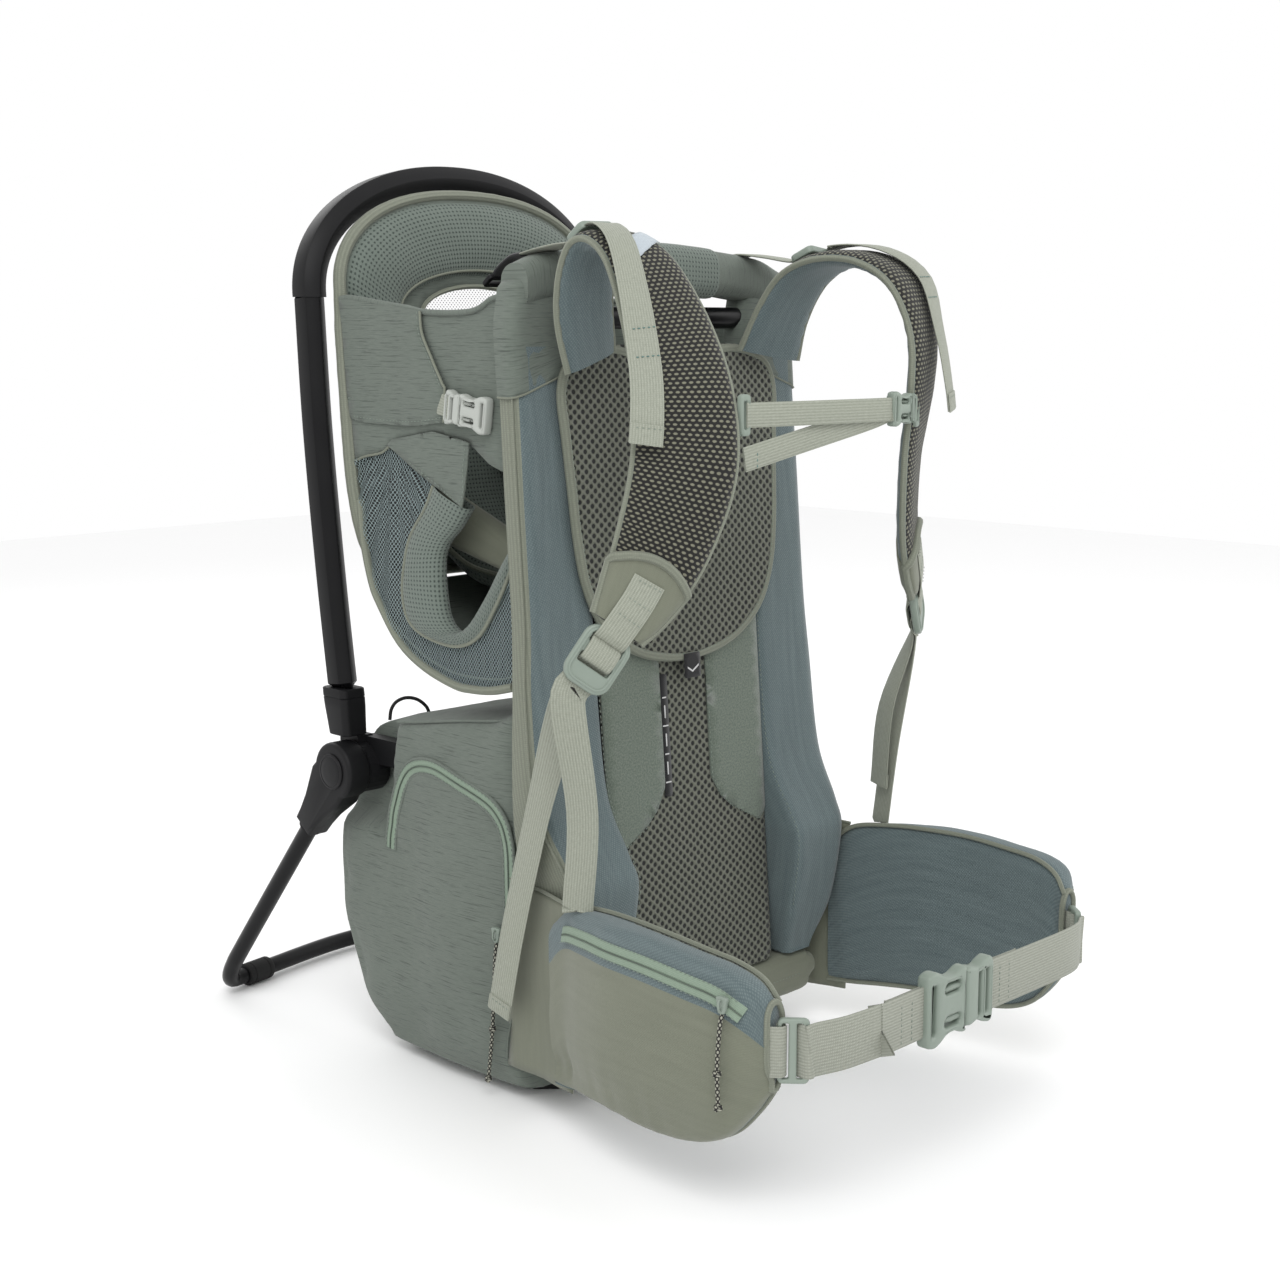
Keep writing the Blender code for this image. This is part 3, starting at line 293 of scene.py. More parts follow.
def dashes(name, path, paint, body="root", length=0.0026, gap=0.0016, radius=0.00035):
    """A row of stitches along a path of points."""
    line = even(path, (length + gap) / 4)
    points, faces = [], []
    for start in range(0, len(line) - 4, 4):
        ends = [Vector(line[start]), Vector(line[start + 1]), Vector(line[start + 2])]
        along = (ends[2] - ends[0]).normalized()
        side = along.orthogonal().normalized()
        other = along.cross(side)
        first = len(points)
        for spot, r in zip(ends, (0.5, 1.0, 0.5)):
            points += [spot + side * radius * r * u + other * radius * r * v for u, v in ((1, 0), (0, 1), (-1, 0), (0, -1))]
        for i in (0, 4):
            for j in range(4):
                k = (j + 1) % 4
                faces.append((first + i + j, first + i + k, first + i + 4 + k, first + i + 4 + j))
        faces += [(first, first + 1, first + 2, first + 3), (first + 8, first + 9, first + 10, first + 11)]
    return piece(name, points, faces, paint, body)


def plate(name, loops, thick, rounding, centre, axes, paint, body="root", side=1):
    """A moulded plate: outlines in its own plane, the first the edge and the others holes, with rounded edges."""
    curve = bpy.data.curves.new(name, "CURVE")
    curve.dimensions = "2D"
    curve.fill_mode = "BOTH"
    curve.extrude = max(thick / 2 - rounding, 1e-5)
    curve.bevel_depth = rounding
    curve.bevel_resolution = 2
    curve.offset = -rounding
    for loop in loops:
        line = curve.splines.new("POLY")
        line.points.add(len(loop) - 1)
        for spot, p in zip(line.points, loop):
            spot.co = (p[0], p[1], 0, 1)
        line.use_cyclic_u = True
    holder = bpy.data.objects.new(name + "_curve", curve)
    bpy.context.scene.collection.objects.link(holder)
    bpy.context.view_layer.update()
    mesh = bpy.data.meshes.new_from_object(holder.evaluated_get(bpy.context.evaluated_depsgraph_get()))
    bpy.data.objects.remove(holder)
    u, v, w = (Vector(axis).normalized() for axis in axes)
    points = [Vector(centre) + u * p.co.x + v * p.co.y + w * p.co.z for p in mesh.vertices]
    points = [(side * p.x, p.y, p.z) for p in points]
    faces = [tuple(p.vertices) for p in mesh.polygons]
    obj = piece(name, points, faces, paint, body, sharp=50)
    weld = obj.modifiers.new("Weld", "WELD")
    weld.merge_threshold = 1e-6
    return obj


def oblong(width, tall, corner, steps=4, centre=(0, 0)):
    """Outline of a rectangle with round corners."""
    corner = min(corner, width / 2, tall / 2)
    points = []
    for turn, (sx, sy) in enumerate(((1, 1), (-1, 1), (-1, -1), (1, -1))):
        for i in range(steps + 1):
            a = math.pi / 2 * (turn + i / steps)
            x = centre[0] + sx * (width / 2 - corner) + corner * math.cos(a)
            points.append((x, centre[1] + sy * (tall / 2 - corner) + corner * math.sin(a)))
    return points


def mirror_name(name, side):
    return name + ("_r" if side < 0 else "_l")


print("helpers ready")

# %% [markdown]
# ## Paint helpers
# A material is a small graph of nodes. These helpers make one node each and hand back its output, so that a finish can
# be written as a sum. A value that is the same all over is set on the shader itself.

# %% Node helpers
def new_paint(name, rough, metal=0.0, sheen=0.0, coat=0.0):
    """A material with these even values; returns it with its tree and shader."""
    made = bpy.data.materials.new(name)
    made.use_nodes = True
    shader = made.node_tree.nodes["Principled BSDF"]
    shader.inputs["Roughness"].default_value = rough
    shader.inputs["Metallic"].default_value = metal
    shader.inputs["Sheen Weight"].default_value = sheen
    shader.inputs["Sheen Roughness"].default_value = 0.5
    shader.inputs["Coat Weight"].default_value = coat
    return made, made.node_tree, shader


def feed(tree, socket, value):
    if isinstance(value, bpy.types.NodeSocket):
        tree.links.new(value, socket)
    else:
        socket.default_value = value


def calc(tree, operation, *values):
    node = tree.nodes.new("ShaderNodeMath")
    node.operation = operation
    for socket, value in zip(node.inputs, values):
        feed(tree, socket, value)
    return node.outputs[0]


def vector(tree, operation, *values):
    node = tree.nodes.new("ShaderNodeVectorMath")
    node.operation = operation
    for socket, value in zip(node.inputs, values):
        feed(tree, socket, value)
    return node.outputs["Value" if operation in ("LENGTH", "DOT_PRODUCT") else "Vector"]


def ramp(tree, value, low, high):
    """0 below low, 1 above high, smooth between."""
    node = tree.nodes.new("ShaderNodeMapRange")
    node.interpolation_type = "SMOOTHSTEP"
    feed(tree, node.inputs["Value"], value)
    node.inputs["From Min"].default_value = low
    node.inputs["From Max"].default_value = high
    return node.outputs[0]


def mix(tree, factor, a, b):
    node = tree.nodes.new("ShaderNodeMix")
    node.data_type = "RGBA"
    feed(tree, node.inputs[0], factor)
    feed(tree, node.inputs[6], (*a, 1) if isinstance(a, tuple) else a)
    feed(tree, node.inputs[7], (*b, 1) if isinstance(b, tuple) else b)
    return node.outputs[2]


def cloth(tree):
    node = tree.nodes.new("ShaderNodeUVMap")
    node.uv_map = "cloth"
    return node.outputs[0]


def place_of(tree):
    return tree.nodes.new("ShaderNodeTexCoord").outputs["Object"]


def grain(tree, at, scale, detail=2.0, rough=0.5):
    """Noise from 0 to 1; scale is cycles in a metre, one number or one for each axis."""
    node = tree.nodes.new("ShaderNodeTexNoise")
    node.inputs["Detail"].default_value = detail
    node.inputs["Roughness"].default_value = rough
    if isinstance(scale, tuple):
        at = vector(tree, "MULTIPLY", at, scale)
        scale = 1.0
    feed(tree, node.inputs["Vector"], at)
    node.inputs["Scale"].default_value = scale
    return node.outputs[0]


def wave(tree, at, direction, pitch):
    """A sine from 0 to 1 along a direction of the cloth, one cycle in each pitch."""
    length = math.hypot(*direction)
    turns = [2 * math.pi / pitch * c / length for c in direction]
    along = vector(tree, "DOT_PRODUCT", at, (*turns, 0.0))
    return calc(tree, "MULTIPLY_ADD", calc(tree, "SINE", along), 0.5, 0.5)


def lattice(tree, at, pitch, radii, staggered=True):
    """Distance from the nearest point of a lattice, 1 on an oval of these radii about it."""
    cells = vector(tree, "MULTIPLY", at, (1 / pitch[0], 1 / pitch[1], 0.0))
    nearest = None
    for shift in (0.0, 0.5) if staggered else (0.0,):
        moved = vector(tree, "ADD", cells, (shift, shift, 0.0))
        local = vector(tree, "SUBTRACT", vector(tree, "FRACTION", moved), (0.5, 0.5, 0.0))
        local = vector(tree, "MULTIPLY", local, (pitch[0] / radii[0], pitch[1] / radii[1], 0.0))
        far = vector(tree, "LENGTH", local)
        nearest = far if nearest is None else calc(tree, "MINIMUM", nearest, far)
    return nearest


def bump(tree, shader, height, depth, strength=1.0):
    """Relief of this depth in metres."""
    node = tree.nodes.new("ShaderNodeBump")
    node.inputs["Strength"].default_value = strength
    node.inputs["Distance"].default_value = depth
    feed(tree, node.inputs["Height"], height)
    tree.links.new(node.outputs[0], shader.inputs["Normal"])


def coloured(tree, shader, colour):
    feed(tree, shader.inputs["Base Color"], colour)


# %% [markdown]
# ## Hard finishes
# Bars are satin black anodised tube, mouldings are black or sage nylon with a fine spark grain, and the sleeves are
# rubber. Handling polishes the high places a little, so the roughness and the colour wander slowly.

# %% Hard finishes
def moulded(name, dark, light, rough, depth=0.00006, metal=0.0):
    made, tree, shader = new_paint(name, rough, metal)
    at = place_of(tree)
    slow = grain(tree, at, 22.0, 3.0)
    fine = grain(tree, at, 1400.0, 2.0)
    coloured(tree, shader, mix(tree, slow, dark, light))
    feed(tree, shader.inputs["Roughness"], calc(tree, "MULTIPLY_ADD", slow, 0.16, rough - 0.08))
    bump(tree, shader, fine, depth, 0.7)
    shader.inputs["Specular IOR Level"].default_value = 0.5 if light[0] > 0.05 else 0.18
    return made


BLACK_TUBE = moulded("black_tube", (0.0025, 0.0025, 0.0030), (0.0060, 0.0060, 0.0068), 0.32, 0.00002)
BLACK_NYLON = moulded("black_nylon", (0.0045, 0.0045, 0.0050), (0.0110, 0.0110, 0.0120), 0.46)
SAGE_NYLON = moulded("sage_nylon", (0.185, 0.225, 0.190), (0.240, 0.285, 0.242), 0.42)
PALE_NYLON = moulded("pale_nylon", (0.36, 0.38, 0.35), (0.42, 0.44, 0.41), 0.38)
RUBBER = moulded("sleeve_rubber", (0.010, 0.010, 0.010), (0.022, 0.022, 0.022), 0.74, 0.00015)
STEEL = moulded("pin_steel", (0.40, 0.40, 0.41), (0.50, 0.50, 0.51), 0.32, 0.00001, 1.0)
print("hard finishes:", 6)

# %% [markdown]
# ## Cloth finishes
# The shell is a heathered polyester: level grey-green threads with darker slubs. The pillars are a fine blue-grey
# twill knit, the back is spacer mesh with staggered holes, the straps carry a black mesh with cream chain stitches,
# and the leg cuffs and pads are a small waffle. Each is drawn from its cloth coordinates at its true pitch.

# %% Cloth finishes
def heather(name, base, slub, pale):
    made, tree, shader = new_paint(name, 0.88, sheen=0.12)
    at = cloth(tree)
    slubs = ramp(tree, grain(tree, at, (30.0, 900.0, 1.0), 3.0, 0.65), 0.53, 0.70)
    threads = grain(tree, at, (110.0, 2100.0, 1.0), 1.5)
    shade = grain(tree, at, 9.0, 2.0)
    ground = mix(tree, calc(tree, "MULTIPLY_ADD", threads, 0.9, calc(tree, "MULTIPLY", shade, 0.25)), base, pale)
    coloured(tree, shader, mix(tree, calc(tree, "MULTIPLY", slubs, 0.62), ground, slub))
    weave = calc(tree, "MULTIPLY", wave(tree, at, (1, 0), 0.0011), wave(tree, at, (0, 1), 0.0009))
    bump(tree, shader, calc(tree, "SUBTRACT", calc(tree, "ADD", weave, threads), slubs), 0.00022, 0.55)
    return made


def twill(name, base, pale, pitch=0.0021, slant=(1, 0.6), contrast=0.75, depth=0.0003):
    made, tree, shader = new_paint(name, 0.9, sheen=0.18)
    at = cloth(tree)
    jitter = grain(tree, at, (420.0, 700.0, 1.0), 2.0)
    lines = wave(tree, at, slant, pitch)
    columns = grain(tree, at, (190.0, 16.0, 1.0), 2.0)
    cross = wave(tree, at, (slant[1], -slant[0]), pitch * 0.8)
    height = calc(tree, "ADD", calc(tree, "MULTIPLY", lines, cross), jitter)
    tone = calc(tree, "ADD", calc(tree, "MULTIPLY", height, contrast * 0.6), calc(tree, "MULTIPLY", columns, 0.45))
    coloured(tree, shader, mix(tree, calc(tree, "SUBTRACT", tone, 0.25), base, pale))
    bump(tree, shader, height, depth, 0.6)
    return made


def spacer_mesh(name, strut, shadow, pitch, radii):
    made, tree, shader = new_paint(name, 0.92, sheen=0.1)
    at = cloth(tree)
    far = lattice(tree, at, pitch, radii)
    # Painted shade: the holes are coloured with the near-black shadow colour, and each strut is painted darker towards
    # the holes.
    solid = ramp(tree, far, 0.72, 1.12)
    fibre = grain(tree, at, 1500.0, 2.0)
    lit = mix(tree, calc(tree, "MULTIPLY", fibre, ramp(tree, far, 0.9, 1.6)), tuple(c * 0.62 for c in strut), strut)
    coloured(tree, shader, mix(tree, solid, shadow, lit))
    bump(tree, shader, calc(tree, "MULTIPLY_ADD", fibre, 0.12, ramp(tree, far, 0.6, 1.7)), 0.0016, 0.8)
    return made


def chain_mesh(name, ground, stitch, pitch, radii):
    made, tree, shader = new_paint(name, 0.9, sheen=0.1)
    at = cloth(tree)
    far = lattice(tree, at, pitch, radii)
    fibre = grain(tree, at, 1300.0, 2.0)
    lit = calc(tree, "SUBTRACT", 1.0, ramp(tree, far, 0.62, 1.08))
    shade = mix(tree, fibre, tuple(c * 0.62 for c in stitch), stitch)
    coloured(tree, shader, mix(tree, lit, ground, shade))
    bump(tree, shader, lit, 0.0009, 0.8)
    return made


def open_net(name, thread, pitch, radii):
    """Net whose holes are see-through."""
    made, tree, shader = new_paint(name, 0.85)
    at = cloth(tree)
    far = lattice(tree, at, pitch, radii)
    coloured(tree, shader, mix(tree, grain(tree, at, (700.0, 90.0, 1.0)), tuple(c * 0.7 for c in thread), thread))
    tree.links.new(ramp(tree, far, 0.82, 1.0), shader.inputs["Alpha"])
    bump(tree, shader, far, 0.0006, 0.5)
    return made


def waffle(name, base, pale, pitch=0.0037):
    made, tree, shader = new_paint(name, 0.9, sheen=0.15)
    at = cloth(tree)
    pits = ramp(tree, lattice(tree, at, (pitch, pitch), (pitch * 0.26, pitch * 0.26), False), 0.55, 1.25)
    rows = calc(tree, "MULTIPLY", wave(tree, at, (1, 0), pitch), wave(tree, at, (0, 1), pitch))
    fibre = grain(tree, at, 1200.0, 2.0)
    tone = calc(tree, "MULTIPLY", calc(tree, "MULTIPLY_ADD", fibre, 0.5, 0.55), pits)
    coloured(tree, shader, mix(tree, tone, base, pale))
    bump(tree, shader, calc(tree, "SUBTRACT", pits, calc(tree, "MULTIPLY", rows, 0.5)), 0.0006, 0.8)
    return made


def ribbed(name, base, pale, pitch=(0.0022, 0.0013), depth=0.00035, rough=0.8):
    """Webbing, binding or tape: ribs along it and picks across it."""
    made, tree, shader = new_paint(name, rough, sheen=0.1)
    at = cloth(tree)
    ribs = wave(tree, at, (1, 0), pitch[0])
    picks = wave(tree, at, (0, 1), pitch[1])
    fibre = grain(tree, at, (900.0, 300.0, 1.0), 2.0)
    height = calc(tree, "MULTIPLY", ribs, calc(tree, "MULTIPLY_ADD", picks, 0.6, 0.4))
    tone = calc(tree, "MULTIPLY_ADD", height, 0.5, calc(tree, "MULTIPLY", fibre, 0.6))
    coloured(tree, shader, mix(tree, tone, base, pale))
    bump(tree, shader, height, depth, 0.7)
    return made


def felt(name, base, pale):
    made, tree, shader = new_paint(name, 0.96, sheen=0.25)
    at = cloth(tree)
    tuft = grain(tree, at, 620.0, 4.0, 0.7)
    coloured(tree, shader, mix(tree, ramp(tree, tuft, 0.3, 0.7), base, pale))
    bump(tree, shader, tuft, 0.0006, 0.7)
    return made


def flecked(name, dark, fleck):
    made, tree, shader = new_paint(name, 0.85)
    at = cloth(tree)
    far = lattice(tree, at, (0.0031, 0.0046), (0.0009, 0.0011))
    coloured(tree, shader, mix(tree, ramp(tree, far, 0.7, 1.1), fleck, dark))
    bump(tree, shader, lattice(tree, at, (0.0016, 0.0023), (0.0008, 0.0011)), 0.0004, 0.8)
    return made


HEATHER = heather("heather", (0.073, 0.091, 0.076), (0.022, 0.029, 0.025), (0.154, 0.178, 0.152))
KNIT = twill("blue_knit", (0.060, 0.087, 0.092), (0.182, 0.230, 0.234))
OLIVE_TWILL = twill("olive_twill", (0.140, 0.150, 0.110), (0.215, 0.228, 0.172), 0.0013, (1, 1), 0.35, 0.00012)
BACK_MESH = spacer_mesh("back_mesh", (0.180, 0.190, 0.148), (0.006, 0.007, 0.006), (0.0086, 0.0076), (0.0021, 0.0020))
CHAIN_MESH = chain_mesh("chain_mesh", (0.006, 0.006, 0.005), (0.212, 0.210, 0.152), (0.0054, 0.0066), (0.0020, 0.0011))
NET = open_net("pleat_net", (0.215, 0.275, 0.275), (0.0030, 0.0042), (0.0011, 0.0013))
WINDOW_NET = open_net("window_net", (0.030, 0.032, 0.034), (0.0036, 0.0036), (0.0015, 0.0015))
WAFFLE = waffle("waffle", (0.046, 0.062, 0.053), (0.152, 0.183, 0.158))
WEBBING = ribbed("webbing", (0.178, 0.192, 0.152), (0.368, 0.386, 0.322))
GREY_WEBBING = ribbed("grey_webbing", (0.185, 0.195, 0.160), (0.360, 0.375, 0.320))
BINDING = ribbed("binding", (0.120, 0.132, 0.102), (0.225, 0.240, 0.188), (0.0035, 0.0016), 0.0003, 0.85)
ZIP_TAPE = ribbed("zip_tape", (0.150, 0.205, 0.150), (0.250, 0.320, 0.250), (0.0012, 0.0012), 0.0001)
GRIP = felt("grip_felt", (0.084, 0.108, 0.088), (0.160, 0.190, 0.152))
REFLECTIVE = ribbed("reflective", (0.330, 0.380, 0.420), (0.480, 0.530, 0.570), (0.0012, 0.0012), 0.00008, 0.5)
BRAID = flecked("braid", (0.012, 0.012, 0.011), (0.330, 0.330, 0.270))
THREAD = ribbed("thread", (0.150, 0.190, 0.160), (0.230, 0.270, 0.230))
TEAL_THREAD = ribbed("teal_thread", (0.050, 0.130, 0.125), (0.080, 0.190, 0.180))
DARK_CLOTH = twill("dark_cloth", (0.008, 0.008, 0.009), (0.022, 0.022, 0.024), 0.0012, (1, 1), 0.4, 0.0001)
WHITE_MARK = ribbed("white_mark", (0.55, 0.55, 0.55), (0.70, 0.70, 0.70), (0.001, 0.001), 0.00005)
print("cloth finishes:", len(bpy.data.materials))

# %% [markdown]
# ## Hoop
# The hoop is two straight bars with a moulded arch over the child's head. Its section has six sides with a ridge in
# front and behind, so light breaks along it in long clean lines. A section carried along a curve, a loft, is the
# natural way to make it; small fillets at the corners keep the edges from looking cut.

# %% Hoop bars and arch
def hoop_section(fillet=0.14):
    corners = np.array([(-0.5, -0.28), (0.0, -0.5), (0.5, -0.28), (0.5, 0.28), (0.0, 0.5), (-0.5, 0.28)])
    shape = []
    for before, corner, after in zip(np.roll(corners, 1, 0), corners, np.roll(corners, -1, 0)):
        start, end = corner + (before - corner) * fillet, corner + (after - corner) * fillet
        shape += [start, start * 0.25 + corner * 0.5 + end * 0.25, end]
    return shape


def hoop_run(name, points, wide, deep, paint, level_ends=True):
    rings = []
    for i, point in enumerate(points):
        along = (Vector(points[min(i + 1, len(points) - 1)]) - Vector(points[max(i - 1, 0)])).normalized()
        normal = Vector((0, 1, -HOOP_LEAN)).normalized()
        outward = normal.cross(along).normalized()
        if level_ends and i in (0, len(points) - 1):
            normal, outward = Vector((0, 1, 0)), Vector((math.copysign(1, point[0]), 0, 0))
        rings.append([Vector(point) + outward * wide * u + normal * deep * v for u, v in hoop_section()])
    return skin(name, rings, paint, "root", sharp=25)


def hoop_bar(side):
    low, high = 0.3030, HOOP_PARTING + 0.0140
    bow = refine([(0.0, 0.0115), (0.3, 0.0140), (0.65, 0.0145), (1.0, 0.0110)], 8)
    points = [(side * (HALF + x), hoop_y(low + (high - low) * t), low + (high - low) * t) for t, x in bow]
    bar = hoop_run(mirror_name("hoop_bar_tube", side), points, 0.020, 0.028, BLACK_TUBE)
    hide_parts(mirror_name("hoop_bar", side))


def hoop_arch():
    crown = []
    for i in range(97):
        a = math.pi * i / 96
        x = math.copysign(abs(math.cos(a)) ** (2 / 2.1), math.cos(a))
        z = HOOP_PARTING + 0.102 * math.sin(a) ** (2 / 2.1)
        crown.append(((HALF + 0.0110) * x, hoop_y(z), z))
    arch = hoop_run("hoop_arch_moulding", crown, 0.023, 0.031, BLACK_NYLON)
    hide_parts("hoop_arch")


for side in (-1, 1):
    hoop_bar(side)
hoop_arch()
print("hoop: 2 bars and an arch")

# %% [markdown]
# ## Hinge and kickstand
# Each bar stands in a moulded socket on a round knuckle. The kickstand's leg ends in a teardrop moulding with a round
# cap, narrows to the tube, and one bowed tube joins both legs. The teardrop is a flat outline given thickness and
# round edges, which is how such a part is drawn for moulding; the socket and the tube are lofts.

# %% Sockets
def rounded_ring(centre, wide, deep, corner, steps=5):
    return [(centre[0] + a, centre[1] + b, centre[2]) for a, b in oblong(wide, deep, corner, steps)]


def hoop_socket(side):
    spans = [(0.2722, 0.0225, 0.0255), (0.2728, 0.024, 0.027), (0.284, 0.0248, 0.0285), (0.296, 0.0256, 0.0305),
             (0.3035, 0.0258, 0.0312), (0.3042, 0.0248, 0.0302), (0.3048, 0.0258, 0.0313), (0.3112, 0.0250, 0.0320),
             (0.3119, 0.0238, 0.0308)]
    rings = []
    for z, wide, deep in spans:
        t = (z - 0.272) / 0.04
        rings.append(rounded_ring((side * (HALF + 0.0105 + 0.001 * t), hoop_y(z), z), wide, deep, 0.006))
    socket = skin(mirror_name("hoop_socket_moulding", side), rings, BLACK_NYLON, "root")
    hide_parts(mirror_name("hoop_socket", side))


# %% Leg housings, caps and tube
def leg_housing(side):
    along = Vector((FOOT.y - PIVOT.y, FOOT.z - PIVOT.z)).normalized()
    across = Vector((-along.y, along.x))
    half = [(0.072, 0.0112), (0.060, 0.0122), (0.044, 0.0150), (0.030, 0.0192), (0.018, 0.0228)]
    start = math.atan2(0.0228, 0.018)
    radius = math.hypot(0.0228, 0.018) * 0.85
    rim = [(0.0245 * math.cos(start + (2 * math.pi - 2 * start) * k / 24), 0.0245 * math.sin(
        start + (2 * math.pi - 2 * start) * k / 24)) for k in range(1, 24)]
    outline = half + rim + [(a, -b) for a, b in reversed(half)]
    hole = [(radius * 0.2 * math.cos(2 * math.pi * k / 24), radius * 0.2 * math.sin(2 * math.pi * k / 24)) for k in range(24)]
    low = HALF + 0.0105 + 0.0004
    axes = ((0, along.x, along.y), (0, across.x, across.y), (1, 0, 0))
    centre = (low + 0.0115, PIVOT.y, PIVOT.z)
    housing = plate(mirror_name("leg_moulding", side), [outline, hole], 0.023, 0.0035, centre, axes, BLACK_NYLON,
                    "kickstand", side)
    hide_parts(mirror_name("leg_housing", side))
    shape = [(0.0, 0.0054), (0.0232, 0.0054), (0.0233, 0.0150), (0.0240, 0.0152), (0.0246, 0.0148), (0.0249, 0.0135),
             (0.0246, 0.0128), (0.0249, 0.0120), (0.0254, 0.0080), (0.0256, 0.0)]
    rings = [[(side * (low + x), PIVOT.y + r * math.cos(a), PIVOT.z + r * math.sin(a))
              for a in np.linspace(0, 2 * math.pi, 40, endpoint=False)] for x, r in shape]
    cap = skin(mirror_name("pivot_cap", side), rings, BLACK_NYLON, "root", sharp=30)
    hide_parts(mirror_name("hinge_pin", side))
    tip = Vector((LEG_X, PIVOT.y, PIVOT.z)) + Vector((0, along.x, along.y)) * 0.0705
    direction = Vector((0, along.x, along.y))
    path = [tip + direction * d for d in (0.0, 0.001, 0.0035, 0.0045)]
    cord(mirror_name("leg_collar", side), [(side * p.x, p.y, p.z) for p in path],
                  [0.0098, 0.0104, 0.0104, 0.0082], BLACK_NYLON, "kickstand", 24)


def stand_route():
    along = Vector((0, FOOT.y - PIVOT.y, FOOT.z - PIVOT.z)).normalized()
    start = Vector((LEG_X, PIVOT.y, PIVOT.z)) + along * 0.0724
    z = FOOT.z
    return [tuple(start), (LEG_X - 0.001, FOOT.y - along.y * 0.060, z - along.z * 0.060),
            (LEG_X - 0.002, FOOT.y - along.y * 0.030, z - along.z * 0.030),
            (LEG_X - 0.005, FOOT.y - along.y * 0.012, z - along.z * 0.011),
            (LEG_X - 0.012, FOOT.y - 0.0005, z + 0.001), (LEG_X - 0.022, FOOT.y + 0.002, z),
            (LEG_X - 0.065, FOOT.y + 0.009, z), (LEG_X - 0.105, FOOT.y + 0.0162, z),
            (LEG_X - 0.140, FOOT.y + 0.0209, z), (0.0, FOOT.y + 0.022, z)]


def kickstand():
    half = stand_route()
    whole = half + [(-x, y, z) for x, y, z in reversed(half[:-1])]
    tube = cord("kickstand_bar", even(refine(whole, 10), 0.004), 0.0075, BLACK_TUBE, "kickstand", 20)
    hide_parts("kickstand_tube")
    for side in (-1, 1):
        outer, inner = Vector(half[5]), Vector(half[6])
        along = (inner - outer).normalized()
        spans = [(0.0060, 0.0080), (0.0062, 0.0096), (0.0078, 0.0105), (0.0110, 0.0105), (0.0113, 0.0099),
                 (0.0122, 0.0099), (0.0125, 0.0105), (0.0290, 0.0105), (0.0293, 0.0099), (0.0302, 0.0099),
                 (0.0305, 0.0105), (0.0342, 0.0105), (0.0358, 0.0096), (0.0360, 0.0080)]
        path = [outer + along * d for d, _ in spans]
        sleeve = cord(mirror_name("foot_grip", side), [(side * p.x, p.y, p.z) for p in path], [r for _, r in spans],
                      RUBBER, "kickstand", 24)
        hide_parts(mirror_name("foot_sleeve", side))


for side in (-1, 1):
    hoop_socket(side)
    leg_housing(side)
    bracket = NODES[mirror_name("hinge_bracket", side)]
    bracket.data.materials.clear()
    bracket.data.materials.append(BLACK_NYLON)
kickstand()
base = NODES["bag_base"]
base.data.materials.clear()
base.data.materials.append(RUBBER)
print("hinge and kickstand done")

# %% [markdown]
# ## Back frame, panel and pillars
# A bent tube holds the back up. Between two padded pillars of blue-grey knit lies a panel of spacer mesh with two felt
# grip strips, on which the yoke is set to the wearer's torso. The panel and the strips are patches on the leaning
# plane; the pillars are lofts with rounded sections, sage on their outer sides.

# %% Frame tube
def frame_tube():
    def tube_y(z):
        return pillar_rear(z) - 0.0098

    top = 0.598 + 0.0004 + 0.009 + 0.011
    x = HALF - 0.024
    route = [(x, tube_y(0.1), 0.0762), (x, tube_y(0.1), 0.31), (x, tube_y(0.330), 0.330), (x, tube_y(0.35), 0.35),
             (x, tube_y(top - 0.03), top - 0.03), (x, tube_y(top - 0.020), top - 0.020)]
    bend = [(x - 0.020 + 0.020 * math.cos(a), tube_y(top), top - 0.020 + 0.020 * math.sin(a))
            for a in np.linspace(0.2, math.pi / 2, 7)]
    half = route + bend
    whole = half + [(-px, y, z) for px, y, z in reversed(half)]
    tube = cord("frame_bow", even(whole, 0.006), 0.0088, BLACK_TUBE, "root", 18)
    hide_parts("frame_tube")


frame_tube()


# %% Back panel with its grip strips and size strip
def on_panel(lift=0.0):
    """Places a pattern on the back panel's plane, lifted off it."""
    return lambda a, b: (a, panel_front(b) - lift, b)


